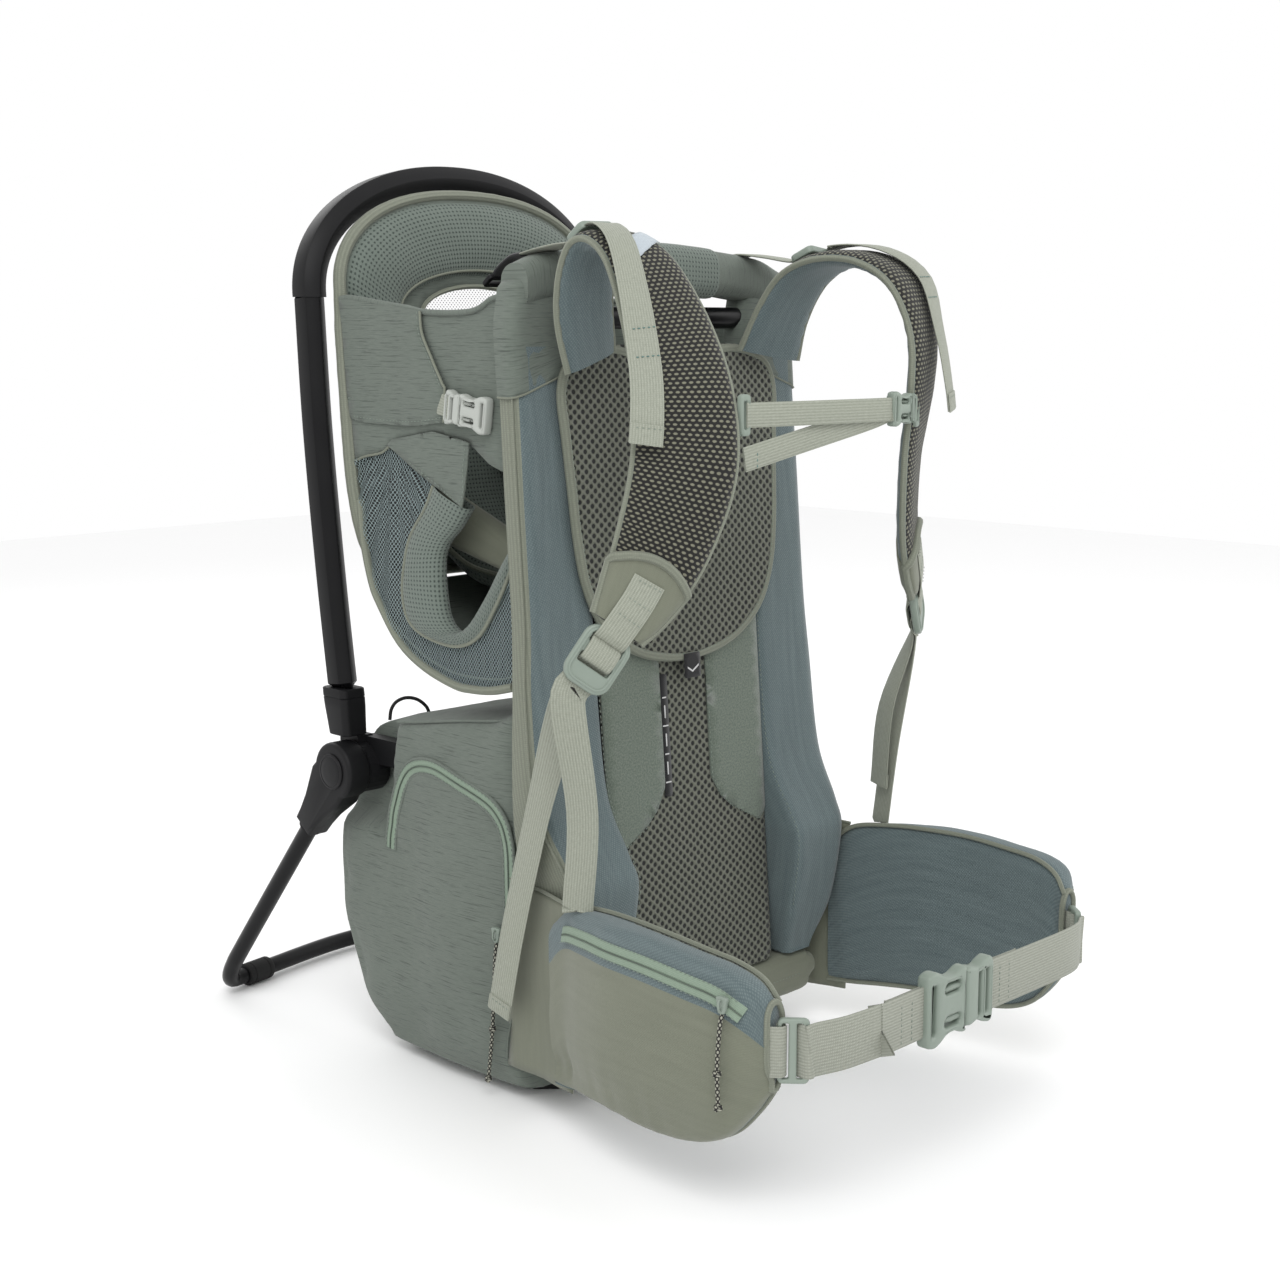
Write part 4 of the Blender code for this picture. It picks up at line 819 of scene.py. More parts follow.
def back_panel():
    def sunk(a, b):
        soft = 0.0006 * wobble((a, b, 0), 22, 4)
        return (a, panel_front(b) + 0.0022 + soft, b)

    outline = even(oblong(0.187, 0.524, 0.006, 4, (0, 0.3355)), 0.006, True)
    panel = patch("back_mesh_panel", outline, sunk, [BACK_MESH, DARK_CLOTH], "root", 0.006, 0.0012)
    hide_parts("back_panel")
    backing = patch("back_mesh_backing", outline, lambda a, b: (a, panel_front(b) + 0.0085, b), DARK_CLOTH, "root",
                    0.012, 0.0012)
    for side in (-1, 1):
        strip = [(0.0285, 0.592), (0.0935, 0.592), (0.0935, 0.205), (0.086, 0.197), (0.050, 0.216), (0.038, 0.226),
                 (0.0275, 0.244), (0.0275, 0.300)]
        shape = even([(side * a, b) for a, b in strip], 0.005, True)
        grip = patch(mirror_name("grip_strip", side), shape, on_panel(-0.0008), GRIP, "root", 0.010, 0.0012)
        edge = [(side * (a - 0.0015 * (a > 0.05) + 0.0015 * (a < 0.05)), panel_front(b) - 0.0001, b)
                for a, b in even(strip[2:8], 0.003)]
        dashes(mirror_name("grip_stitches", side), edge, THREAD, "root")
    strip = patch("size_strip", even(oblong(0.0085, 0.100, 0.001, 2, (-0.0235, 0.285)), 0.004, True), on_panel(-0.0006),
                  DARK_CLOTH, "root", 0.006, 0.0008)
    for k, b in enumerate((0.316, 0.293, 0.270, 0.247)):
        wide = 0.0062 if k % 2 else 0.0045
        patch(f"size_tick_{k}", oblong(wide, 0.0011, 0.0002, 1, (-0.0235, b)), on_panel(0.0), WHITE_MARK, "root",
              0.004, 0.0003)
    for k, b in enumerate((0.3045, 0.2815, 0.2585)):
        patch(f"size_dot_{k}", oblong(0.0012, 0.0105, 0.0004, 2, (-0.0235, b)), on_panel(0.0), WHITE_MARK, "root",
              0.004, 0.0003)
    print("back panel:", len(panel.data.polygons), "faces")


back_panel()


# %% Pillars
def pillar(side):
    """Padded pillar: rounded in front, sage on the outer side, flaring forward into the hip."""
    outer, inner = HALF + 0.014, 0.0946
    flare = [(0.5955, outer - 0.004, 0.0, inner), (0.588, outer - 0.003, 0.0, inner), (0.50, outer - 0.001, 0.0, inner),
             (0.39, outer, 0.0, inner), (0.330, outer + 0.004, 0.0, inner), (0.25, outer + 0.005, 0.005, inner),
             (0.205, outer, 0.026, inner), (0.181, outer - 0.004, 0.034, inner), (0.12, outer - 0.006, 0.020, inner + 0.004),
             (0.080, outer - 0.013, 0.002, inner + 0.013), (0.0735, outer - 0.016, 0.001, inner + 0.016)]
    rings = []
    for z, x_out, forward, x_in in refine(flare, 8):
        front, rear = panel_front(z) - forward, pillar_rear(z)
        crown = 0.0012 * wobble((z, side, 0), 38, 2)
        ring = [(x_out - 0.001, rear), (x_out, (rear + front) / 2 + 0.004), (x_out - 0.0006, front + 0.008),
                (x_out - 0.0032, front + 0.0030), (x_out - 0.009, front + 0.0004)]
        for t in np.linspace(0.18, 0.86, 9):
            x = x_out + (x_in - x_out) * t
            quilt = 0.0007 * math.sin(t * 26 + 2 * wobble((0, z, side), 9)) * wobble((t, z, 0), 14, 5)
            ring.append((x, front - 0.0003 + quilt + max(crown, 0) * math.sin(math.pi * t)))
        ring += [(x_in + 0.003, front + 0.0008), (x_in + 0.0002, front + 0.004), (x_in, rear - 0.002), (x_in + 0.002, rear)]
        rings.append([(side * x, y, z) for x, y in ring])
    bands = [1, 1, 1] + [0] * 13 + [1, 1]
    pad = skin(mirror_name("pillar", side), rings, [KNIT, BINDING], "root", bands=bands[:len(rings[0])], sharp=70)
    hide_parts(mirror_name("pillar_pad", side))
    seam = []
    for z, x_out, forward, x_in in refine(flare[1:-1], 8):
        seam.append((side * (x_out - 0.0002), panel_front(z) - forward + 0.0072, z))
    cord(mirror_name("pillar_piping", side), even(seam, 0.004), 0.0011, BINDING, "root", 8)
    inner_seam = [(side * (x_in + 0.0016), panel_front(z) - forward + 0.0004, z) for z, _, forward, x_in in refine(flare[1:-2], 8)]
    dashes(mirror_name("pillar_stitches", side), inner_seam, THREAD, "root")


for side in (-1, 1):
    pillar(side)
print("pillars padded")

# %% [markdown]
# ## Hip pads, belt and pockets
# The pad across the foot of the back and the two wings carry the load. Each wing is blue knit inside, with a blue band
# and a zip on top of a plain twill pocket outside. The pocket is slack cloth over a full shape: darts pull it in at the
# bottom. Cloth simulation with a little pressure gives that swelling.

# %% Swelling cloth
def swell(obj, voxel=0.005, pressure=4.0, cap=0.006, frames=14):
    """Lets the closed mesh swell like a stuffed bag, and keeps each point within cap of where it was."""
    scene = bpy.context.scene
    stand_in = obj.copy()
    stand_in.data = obj.data.copy()
    scene.collection.objects.link(stand_in)
    remesh = stand_in.modifiers.new("Voxels", "REMESH")
    remesh.mode = "VOXEL"
    remesh.voxel_size = voxel
    bpy.context.view_layer.update()
    mesh = bpy.data.meshes.new_from_object(stand_in.evaluated_get(bpy.context.evaluated_depsgraph_get()))
    stand_in.modifiers.clear()
    stand_in.data = mesh
    rest = np.array([v.co[:] for v in mesh.vertices])
    cloth_step = stand_in.modifiers.new("Cloth", "CLOTH")
    cloth_step.settings.use_pressure = True
    cloth_step.settings.uniform_pressure_force = pressure
    cloth_step.settings.effector_weights.gravity = 0.0
    cloth_step.point_cache.frame_start = 1
    cloth_step.point_cache.frame_end = frames
    for k in range(1, frames + 1):
        scene.frame_set(k)
    evaluated = stand_in.evaluated_get(bpy.context.evaluated_depsgraph_get())
    moved = np.array([v.co[:] for v in evaluated.data.vertices])
    scene.frame_set(1)
    shift = moved - rest
    far = np.linalg.norm(shift, axis=1, keepdims=True)
    shift *= np.minimum(1.0, cap / np.maximum(far, 1e-9))
    tree = kdtree.KDTree(len(rest))
    for k, p in enumerate(rest):
        tree.insert(p, k)
    tree.balance()
    for v in obj.data.vertices:
        near = tree.find_n(v.co, 4)
        weights = [1 / (d + 1e-5) for _, _, d in near]
        total = sum(weights)
        v.co += Vector(sum(shift[k] * (w / total) for (_, k, _), w in zip(near, weights)))
    bpy.data.objects.remove(stand_in)


# %% Hip wings
WING = [(-0.148, 0.0120, 0.0235, 0.0235, 0.036, 0.165), (-0.172, 0.0150, 0.0290, 0.0300, 0.038, 0.183),
        (-0.205, 0.0200, 0.0400, 0.0460, 0.042, 0.189), (-0.240, 0.0250, 0.0500, 0.0580, 0.045, 0.191),
        (-0.280, 0.0300, 0.0540, 0.0620, 0.044, 0.191), (-0.320, 0.0310, 0.0545, 0.0620, 0.048, 0.188),
        (-0.348, 0.0300, 0.0540, 0.0600, 0.060, 0.185), (-0.368, 0.0270, 0.0520, 0.0540, 0.082, 0.177),
        (-0.379, 0.0240, 0.0400, 0.0400, 0.100, 0.163)]
WING_FINE = refine(WING, 8)


def wing_ring(y, inner, top, bulge, low, high, grow=0.0):
    """Round-cornered section of a wing, from the foot of its inner face round over the top."""
    tall = high - low
    dart = 0.0022 * max(0.0, wobble((y * 2.2, 0, 0), 30, 7)) * 2
    shape = [(inner + 0.006, low + 0.001), (inner + 0.001, low + 0.010), (inner, low + 0.35 * tall), (inner, low + 0.65 * tall),
             (inner + 0.0005, high - 0.010), (inner + 0.004, high - 0.0015), (inner + 0.5 * (top - inner), high + 0.0002),
             (top - 0.004, high - 0.001), (top - 0.0005, high - 0.007), (top + 0.1 * (bulge - top), high - 0.016),
             (top + 0.55 * (bulge - top), high - 0.030), (bulge - 0.0006, low + 0.62 * tall), (bulge, low + 0.45 * tall),
             (bulge - 0.0012 - dart * 0.3, low + 0.27 * tall), (bulge - 0.006 - dart, low + 0.13 * tall),
             (inner + 0.66 * (bulge - inner), low + 0.035 * tall + dart * 0.4), (inner + 0.4 * (bulge - inner), low + 0.0005)]
    return [(HALF + x, y, z) for x, z in shape]


def hip_wing(side):
    rings = []
    for row in WING_FINE:
        rings.append([(side * x, y, z) for x, y, z in closed_curve(wing_ring(*row), 3)])
    size = len(rings[0])
    bands = [0 if (k < 5 * 3 + 1 or k >= size - 2) else (0 if k < 10 * 3 else 1) for k in range(size)]
    wing = skin(mirror_name("hip_pocket", side), rings, [KNIT, OLIVE_TWILL], "root", bands=bands, sharp=80)
    swell(wing, 0.006, 3.0, 0.0015)
    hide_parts(mirror_name("hip_wing", side))
    line = []
    for y, inner, top, bulge, low, high in WING_FINE[8:-7]:
        line.append((side * (HALF + top + 0.1 * (bulge - top) + 0.0030), y, high - 0.0185))
    tape = band(mirror_name("hip_zip_tape", side), even(line, 0.004), [(-side * 0.35, 0, 1)], 0.012, 0.0012, ZIP_TAPE,
                "root")
    teeth = [(x + side * 0.0011, y, z - 0.0002) for x, y, z in line]
    coil(mirror_name("hip_zip_coil", side), teeth)
    for shift in (-0.0058, 0.0058):
        dashes(mirror_name("hip_zip_stitches" + ("_low" if shift < 0 else "_high"), side),
               [(x + side * (0.0009 - shift * 0.35), y, z + shift) for x, y, z in line], THREAD, "root")
    rim = []
    for y, inner, top, bulge, low, high in (WING_FINE[-1],):
        for x, py, z in closed_curve(wing_ring(y, inner, top, bulge, low, high), 3):
            rim.append((side * x, py, z))
    cord(mirror_name("hip_end_binding", side), even(rim, 0.003, True), 0.0024, BINDING, "root", 10, True)
    lower = [(side * (HALF + row[1] + 0.0032), row[0], row[4] + 0.0028) for row in WING_FINE]
    upper = [(side * (HALF + row[1] + 0.0025), row[0], row[5] - 0.0012) for row in WING_FINE]
    for tag, line in (("foot", lower), ("top", upper)):
        cord(mirror_name("hip_binding_" + tag, side), even(line, 0.004), 0.0019, BINDING, "root", 8)


def coil(name, line, body="root"):
    """Closed teeth of a coil zip: one row of tiny beads along a cord."""
    route = even(line, 0.0008)
    radius = [0.00075 if k % 2 else 0.00050 for k in range(len(route))]
    return cord(name, route, radius, ZIP_COIL, body, 6)


ZIP_COIL = moulded("zip_coil", (0.030, 0.042, 0.032), (0.110, 0.150, 0.110), 0.5)
for side in (-1, 1):
    hip_wing(side)
print("hip wings swollen")


# %% Lumbar pad
def lumbar_pad():
    stations = refine([(-1, 0.046, 0.066), (-0.93, 0.038, 0.0705), (-0.86, 0.034, 0.0715), (0, 0.034, 0.0718),
                       (0.86, 0.034, 0.0715), (0.93, 0.038, 0.0705), (1, 0.046, 0.066)], 8)
    rings = []
    for x, low, high in stations:
        tall, deep = high - low, 0.040
        ring = [(x * (HALF - 0.002), -0.127 + a, (low + high) / 2 + b + 0.0006 * wobble((x * 3, b, a), 40))
                for a, b in oblong(deep, tall, min(0.010, tall / 2.1), 4)]
        rings.append(ring)
    pad = skin("lumbar_roll", rings, OLIVE_TWILL, "root", sharp=80)
    swell(pad, 0.005, 3.0, 0.0015)
    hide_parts("lumbar_pad")
    front = [(x * (HALF - 0.012), -0.1473, 0.0525) for x in np.linspace(-0.95, 0.95, 60)]
    dashes("lumbar_stitches", front, THREAD, "root")


lumbar_pad()

# %% [markdown]
# ## Yoke and shoulder straps
# The yoke is a padded patch of spacer mesh with a rolled binding. Each strap is a loft over stations that run from the
# yoke, over the shoulder and down to a ladder lock: chain mesh outside, puckered knit inside, piping on both edges and
# a twill cap at the lower end. Webbing is threaded through every buckle, as it is sewn in reality.

# %% Yoke
def ring_binding(name, outline, place, wide, deep, body, paint=None):
    """Rolled binding along a closed pattern edge: an oval tube that the edge runs into."""
    path = [Vector(place(a, b)) for a, b in even(outline, 0.004, True)]
    rings = []
    for i, point in enumerate(path):
        along = (path[(i + 1) % len(path)] - path[i - 1]).normalized()
        depth = Vector((0, 1, 0)) if abs(along.y) < 0.9 else Vector((1, 0, 0))
        across = along.cross(depth).normalized()
        depth = across.cross(along)
        size = 1 + 0.05 * wobble(point, 120)
        rings.append([point + across * wide * size * math.cos(t) + depth * deep * size * math.sin(t)
                      for t in np.linspace(0, 2 * math.pi, 12, endpoint=False)])
    return skin(name, rings, paint or BINDING, body, loop=True, capped=False)


def yoke():
    half = [(0.0, 0.566), (0.036, 0.588), (0.072, 0.597), (0.112, 0.588), (0.1255, 0.566), (0.1235, 0.530),
            (0.1205, 0.490), (0.1175, 0.450), (0.1105, 0.412), (0.093, 0.379), (0.060, 0.356), (0.020, 0.346)]
    outline = closed_curve(half + [(-x, z) for x, z in reversed(half[1:])], 5)
    inset = [(a * 0.972, 0.470 + (b - 0.470) * 0.974) for a, b in outline]
    middle = lambda a, b: (a, panel_front(b) - 0.0046 - 0.0006 * wobble((a, b, 0), 30), b)
    pad = patch("yoke_mesh", even(inset, 0.005, True), middle, BACK_MESH, "yoke", 0.006, 0.0056)
    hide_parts("yoke_panel")
    ring_binding("yoke_binding", inset, lambda a, b: (a, panel_front(b) - 0.0048, b), 0.0040, 0.0038, "yoke")
    stitches = [(a * 0.952, panel_front(b) - 0.0079, 0.470 + (b - 0.470) * 0.956) for a, b in outline]
    dashes("yoke_stitches", stitches, THREAD, "yoke")
    front = lambda lift: (lambda a, b: (a, panel_front(b) - lift, b))
    patch("yoke_label", oblong(0.018, 0.020, 0.001, 2, (0.002, 0.3405)), front(0.0092), DARK_CLOTH, "yoke",
          0.006, 0.001)
    chevron = [(-0.0045, 0.3400), (0.001, 0.3365), (0.0085, 0.3410), (0.0085, 0.3395), (0.001, 0.3350), (-0.0045, 0.3385)]
    patch("yoke_chevron", chevron, front(0.0100), WHITE_MARK, "yoke", 0.003, 0.0003)


yoke()

# %% Strap stations
# x outward from the cockpit's side, y, z, then the direction across the strap, and its width
STATIONS = {
    1: [(-0.050, -0.127, 0.588, 0.87, -0.12, -0.47, 0.058), (-0.047, -0.139, 0.622, 0.95, 0.0, -0.30, 0.056),
        (-0.043, -0.158, 0.650, 1.0, 0.0, -0.10, 0.056), (-0.038, -0.188, 0.664, 1.0, 0.0, 0.0, 0.056),
        (-0.032, -0.222, 0.662, 1.0, 0.08, 0.0, 0.056), (-0.027, -0.250, 0.643, 0.98, 0.20, 0.0, 0.060),
        (-0.022, -0.262, 0.605, 0.93, 0.35, 0.0, 0.066), (-0.019, -0.259, 0.560, 0.90, 0.43, 0.0, 0.073),
        (-0.016, -0.249, 0.510, 0.87, 0.50, 0.0, 0.075), (-0.008, -0.241, 0.460, 0.85, 0.50, 0.10, 0.068),
        (0.007, -0.233, 0.425, 0.85, 0.50, 0.20, 0.055), (0.021, -0.227, 0.402, 0.85, 0.50, 0.25, 0.038)],
    -1: [(-0.044, -0.127, 0.585, 0.87, -0.12, -0.47, 0.058), (-0.034, -0.130, 0.622, 0.97, 0.0, -0.20, 0.056),
         (-0.030, -0.137, 0.652, 1.0, 0.0, -0.10, 0.056), (-0.029, -0.150, 0.671, 1.0, 0.0, 0.0, 0.056),
         (-0.029, -0.170, 0.673, 1.0, 0.05, 0.0, 0.056), (-0.030, -0.194, 0.655, 0.98, 0.15, 0.0, 0.060),
         (-0.029, -0.222, 0.608, 0.93, 0.35, 0.0, 0.067), (-0.024, -0.242, 0.560, 0.90, 0.43, 0.0, 0.073),
         (-0.016, -0.249, 0.510, 0.87, 0.50, 0.0, 0.075), (-0.005, -0.240, 0.460, 0.85, 0.50, 0.10, 0.068),
         (0.010, -0.231, 0.425, 0.85, 0.50, 0.20, 0.055), (0.026, -0.224, 0.400, 0.85, 0.50, 0.25, 0.038)],
}
PER = 8
FINE = {side: refine(rows, PER) for side, rows in STATIONS.items()}


def strap_at(side, place, across=0.0, lift=0.0):
    """(point, wide, normal, along, width) at a place counted in stations, moved across the strap and off its middle."""
    rows = FINE[side]
    at = min(max(place * PER, 0), len(rows) - 1.001)
    i, t = int(at), at - int(at)
    row = rows[i] * (1 - t) + rows[i + 1] * t
    along = Vector(rows[min(i + 2, len(rows) - 1)][:3] - rows[max(i - 1, 0)][:3]).normalized()
    wide = Vector(row[3:6])
    wide = (wide - along * wide.dot(along)).normalized()
    normal = along.cross(wide)
    point = Vector(row[:3]) + Vector((HALF, 0, 0)) + wide * across + normal * lift
    return point, wide, normal, along, row[6]


def strap_half(place, a):
    """Half the strap's thickness at a share a of its half width."""
    ends = 0.7 + 0.3 * smooth_step(0, 0.6, place) * smooth_step(0, 0.6, 11 - place)
    return 0.007 * ends * (0.40 + 0.60 * (1 - abs(a) ** 4.5))


def strap(side):
    def ring(place, grow=0.0, bow=0.0):
        found = []
        shares = np.linspace(-1, 1, 17)
        for sign, row in ((1, shares), (-1, shares[::-1])):
            for a in row:
                _, _, _, along, width = strap_at(side, place)
                lift = strap_half(place, a) + grow
                if sign < 0:
                    lift -= 0.0011 * (abs(a) ** 2) * (0.5 + 0.5 * math.sin(place * 17 + 2 * wobble((place, a, side), 3)))
                else:
                    lift += 0.0004 * wobble((place * 0.5, a, side), 6)
                point = strap_at(side, place, a * (width / 2 + grow), sign * lift)[0] - along * bow * (1 - a * a)
                found.append((side * point.x, point.y, point.z))
        return found

    places = np.arange(0, 11.001, 1 / 6)
    tag = lambda name: mirror_name(name, side)
    pad = skin(tag("shoulder_pad"), [ring(p) for p in places], [CHAIN_MESH, KNIT], "yoke",
               bands=[0] * 16 + [1] * 18, sharp=75)
    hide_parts(tag("shoulder_strap"))
    for edge, paint in ((-1, BINDING), (1, BINDING)):
        line = []
        for place in places:
            width = strap_at(side, place)[4]
            point = strap_at(side, place, edge * (width / 2 + 0.0003), 0)[0]
            line.append((side * point.x, point.y, point.z))
        cord(tag("strap_piping" + ("_in" if edge < 0 else "_out")), line, 0.0026, paint, "yoke", 10)
    start = 9.55
    rows = [(9.62, 0.0002, 0.012), (9.62, 0.0012, 0.012), (9.8, 0.0014, 0.009), (10.1, 0.0014, 0.004), (10.5, 0.0014, 0),
            (10.8, 0.0014, 0), (11.0, 0.0010, 0)]
    cap = skin(tag("strap_cap"), [ring(p, g, b) for p, g, b in rows], OLIVE_TWILL, "yoke", sharp=75)
    rim = []
    for a in np.linspace(-1, 1, 25):
        _, _, _, along, width = strap_at(side, 9.62)
        point = strap_at(side, 9.62, a * (width / 2 + 0.001), strap_half(9.62, a) + 0.0012)[0] - along * 0.012 * (1 - a * a)
        rim.append((side * point.x, point.y, point.z))
    for edge in (1, -1):
        run = [strap_at(side, p, edge * (strap_at(side, p)[4] / 2 + 0.0016), 0)[0] for p in np.arange(9.7, 11.01, 0.1)]
        run = [(side * p.x, p.y, p.z) for p in run]
        rim = rim + run if edge > 0 else run[::-1] + rim
    cord(tag("cap_binding"), even(rim, 0.003), 0.0034, BINDING, "yoke", 10)


def strap_run(side, tail):
    """Path and directions across for webbing laid along a strap: (place, across, lift off its middle)."""
    path, wides = [], []
    for place, across, lift in refine(tail, 5):
        point, wide, _, _, _ = strap_at(side, place, across, lift)
        path.append(point)
        wides.append(wide)
    return path, wides


# %% Ladder locks, lower webbing and load lifters
def ladder_lock(side):
    tag = lambda name: mirror_name(name, side)
    end, wide, normal, along, _ = strap_at(side, 11)
    centre = end + along * 0.0263
    outline = oblong(0.046, 0.038, 0.011, 6)
    holes = [oblong(0.0072, 0.0268, 0.0014, 3, (step, 0)) for step in (-0.0122, 0.0040)]
    lock = plate(tag("ladder_plate"), [outline] + holes, 0.006, 0.0016, centre, (along, wide, normal), SAGE_NYLON,
                 "yoke", side)
    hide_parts(tag("ladder_lock"))
    rim = [centre + along * u + wide * v + normal * 0.0030 for u, v in oblong(0.0395, 0.0315, 0.008, 6)]
    cord(tag("ladder_rim"), even([(side * p.x, p.y, p.z) for p in rim], 0.002, True), 0.0011, SAGE_NYLON, "yoke",
         8, True)

    def at(step, lift):
        return centre + along * step + normal * lift

    loop = [strap_at(side, 9.72, 0, 0.0088)[0], strap_at(side, 10.2, 0, 0.0090)[0], strap_at(side, 10.7, 0, 0.0084)[0],
            at(-0.0225, 0.0062), at(-0.0185, 0.0052), at(-0.0140, 0.0015), at(-0.0135, -0.0030), at(-0.0180, -0.0048),
            at(-0.0225, -0.0040)]
    band(tag("lock_loop"), refine(loop, 5), [wide], WEB_W, WEB_T, WEBBING, "yoke", side)
    for k, place in enumerate((9.8, 10.25, 10.7)):
        row = [strap_at(side, place, v, 0.0099)[0] for v in np.linspace(-0.011, 0.011, 12)]
        dashes(tag(f"lock_loop_stitches_{k}"), [(side * p.x, p.y, p.z) for p in row], THREAD, "yoke")
    strand = HALF + 0.033
    foot = Vector((strand, -0.1895, 0.186))
    rise = [foot, Vector((strand, -0.190, 0.1935)), Vector((strand + 0.003, -0.198, 0.262)), at(0.036, -0.0052),
            at(0.019, -0.0050), at(0.008, -0.0048), at(0.0045, -0.0010)]
    turn = [(0.35, 0.93, 0), (0.35, 0.93, 0), (0.4, 0.9, 0)] + [tuple(wide)] * 4
    path, wides = refine(rise, 6), refine(turn, 6)
    strand_obj = band(tag("lower_strand"), path, wides, WEB_W, WEB_T, WEBBING, None, side)
    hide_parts(tag("lower_webbing"))
    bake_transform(strand_obj)
    tails = {-1: [((0.0305, -0.152, 0.276), (0.1, 1, 0.2)), ((0.0260, -0.124, 0.200), (0, 1, 0.28)),
                  ((0.0250, -0.106, 0.140), (0, 1, 0.28)), ((0.0250, -0.092, 0.081), (0, 1, 0.28))],
             1: [((0.0290, -0.196, 0.290), (0.4, 0.9, 0)), ((0.0280, -0.190, 0.220), (0.35, 0.93, 0))]}[side]
    wrap = [at(0.0045, -0.0005), at(0.0030, 0.0030), at(-0.0040, 0.0042), at(-0.0110, 0.0030), at(-0.0125, -0.0010),
            at(-0.0070, -0.0066), at(0.010, -0.0072), at(0.034, -0.0078)]
    path = [*wrap] + [Vector((HALF + x, y, z)) for (x, y, z), _ in tails]
    turn = [tuple(wide)] * 8 + [w for _, w in tails]
    path, wides = refine(path, 6), refine(turn, 6)
    hung = "yoke" if side < 0 else None
    tail = band(tag("lower_tail"), path, wides, WEB_W, WEB_T, WEBBING, hung, side)
    if hung is None:
        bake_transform(tail)
    end_fold(tag("lower_tail_fold"), path, wides, WEB_W, WEBBING, hung or "root", side)


def end_fold(name, path, wides, width, paint, body, side=1, depth=0.012):
    """The doubled end of a webbing tail, with its row of stitches."""
    points = [Vector(p) for p in even(path, 0.002)]
    last, before = points[-1], points[-1 - int(depth / 0.002)]
    along = (last - before).normalized()
    wide = Vector(wides[-1]).normalized()
    normal = along.cross(wide).normalized()
    fold = [before + normal * 0.0013, last + normal * 0.0013 - along * 0.001, last + normal * 0.0007 + along * 0.0006]
    band(name, fold, [wide], width - 0.0004, 0.0013, paint, body, side)
    row = [before + along * 0.003 + normal * 0.0021 + wide * v for v in np.linspace(-width / 2 + 0.002, width / 2 - 0.002, 12)]
    dashes(name + "_stitches", [(side * p.x, p.y, p.z) for p in row], THREAD, body)


def lifter(side, at, tail):
    tag = lambda name: mirror_name(name, side)
    point, wide, normal, along, _ = strap_at(side, at, 0, 0.0115)
    lock = plate(tag("lifter_plate"), [oblong(0.022, 0.034, 0.005)] + [oblong(0.0036, 0.0266, 0.001, 2, (s, 0))
                 for s in (-0.0045, 0.0028)], 0.006, 0.0013, point, (along, wide, normal), SAGE_NYLON, "yoke",
                 side)
    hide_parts(tag("lifter_buckle"))
    path, wides = strap_run(side, tail)
    over = [point + along * 0.0028 - normal * 0.0015, point + along * 0.0045 + normal * 0.0030]
    hang = band(tag("lifter_tail"), path, wides, WEB_W, WEB_T, WEBBING, "yoke", side)
    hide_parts(tag("lifter_webbing"))
    end_fold(tag("lifter_fold"), path, wides, WEB_W, WEBBING, "yoke", side, 0.014)
    line = even(path, 0.004)
    for k, share in enumerate((0.60, 0.66)):
        i = int(len(path) * share)
        mid, across = Vector(path[i]), Vector(wides[i]).normalized()
        lift = (Vector(path[i + 1]) - mid).normalized().cross(across) * 0.0012
        row = [mid + lift + across * v for v in np.linspace(-0.0115, 0.0115, 14)]
        dashes(tag(f"lifter_stitches_{k}"), [(side * p.x, p.y, p.z) for p in row], TEAL_THREAD, "yoke", 0.003, 0.001, 0.0005)
    back = point - along * 0.012
    landing = Vector((point.x, -0.094, 0.6705 - 0.0015 * (side < 0)))
    run = [point + along * 0.0015 + normal * 0.0036, point - along * 0.006 + normal * 0.0038, back + normal * 0.0012,
           back.lerp(landing, 0.5) + Vector((0, 0, 0.001)), landing, landing + Vector((0, 0.016, -0.003))]
    anchor = band(tag("lifter_anchor"), refine(run, 6), [(1, 0, 0)], WEB_W, WEB_T, WEBBING, None, side)
    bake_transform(anchor)


for side in (-1, 1):
    strap(side)
    ladder_lock(side)
lifter(-1, 2.95, [(3.35, 0.002, 0.0115), (4, 0.010, 0.011), (5, 0.022, 0.012), (6, 0.028, 0.011), (7, 0.032, 0.011),
                  (7.7, 0.034, 0.014)])
lifter(1, 2.4, [(2.85, 0.0, 0.0115), (3, 0.002, 0.011), (4, 0.008, 0.011), (5, 0.012, 0.012), (6, 0.002, 0.014),
                (7.2, -0.002, 0.027)])
stripe = [(3.95, -0.030), (4.55, 0.013), (5.05, 0.013), (4.5, -0.030)]
fine = even([(p, v) for p, v in stripe], 0.04, True)


def on_strap(a, b):
    point = strap_at(-1, a, b, strap_half(a, b / 0.030) + 0.0009)[0]
    return (-point.x, point.y, point.z)


corners = [Vector(c) for c in stripe]
rows = []
for s in np.linspace(0, 1, 16):
    low, high = corners[0].lerp(corners[1], s), corners[3].lerp(corners[2], s)
    rows.append([on_strap(*low.lerp(high, t)) for t in np.linspace(0, 1, 6)])
glow = skin("strap_reflector", rows, REFLECTIVE, "yoke", around=False)
glow.modifiers.new("Thickness", "SOLIDIFY").thickness = 0.0005
print("straps, locks and webbing done")

# %% [markdown]
# ## Buckles
# Every side-release buckle has the same parts at a different size: a waisted socket with two windows and a slot for the
# webbing, and a plug with its own slot, whose prongs fill the windows. Outlines with holes, thickened, do all of it.

# %% Side-release buckles
def mirrored_outline(half):
    return [tuple(p) for p in half] + [(u, -v) for u, v in reversed(half) if abs(v) > 1e-6]


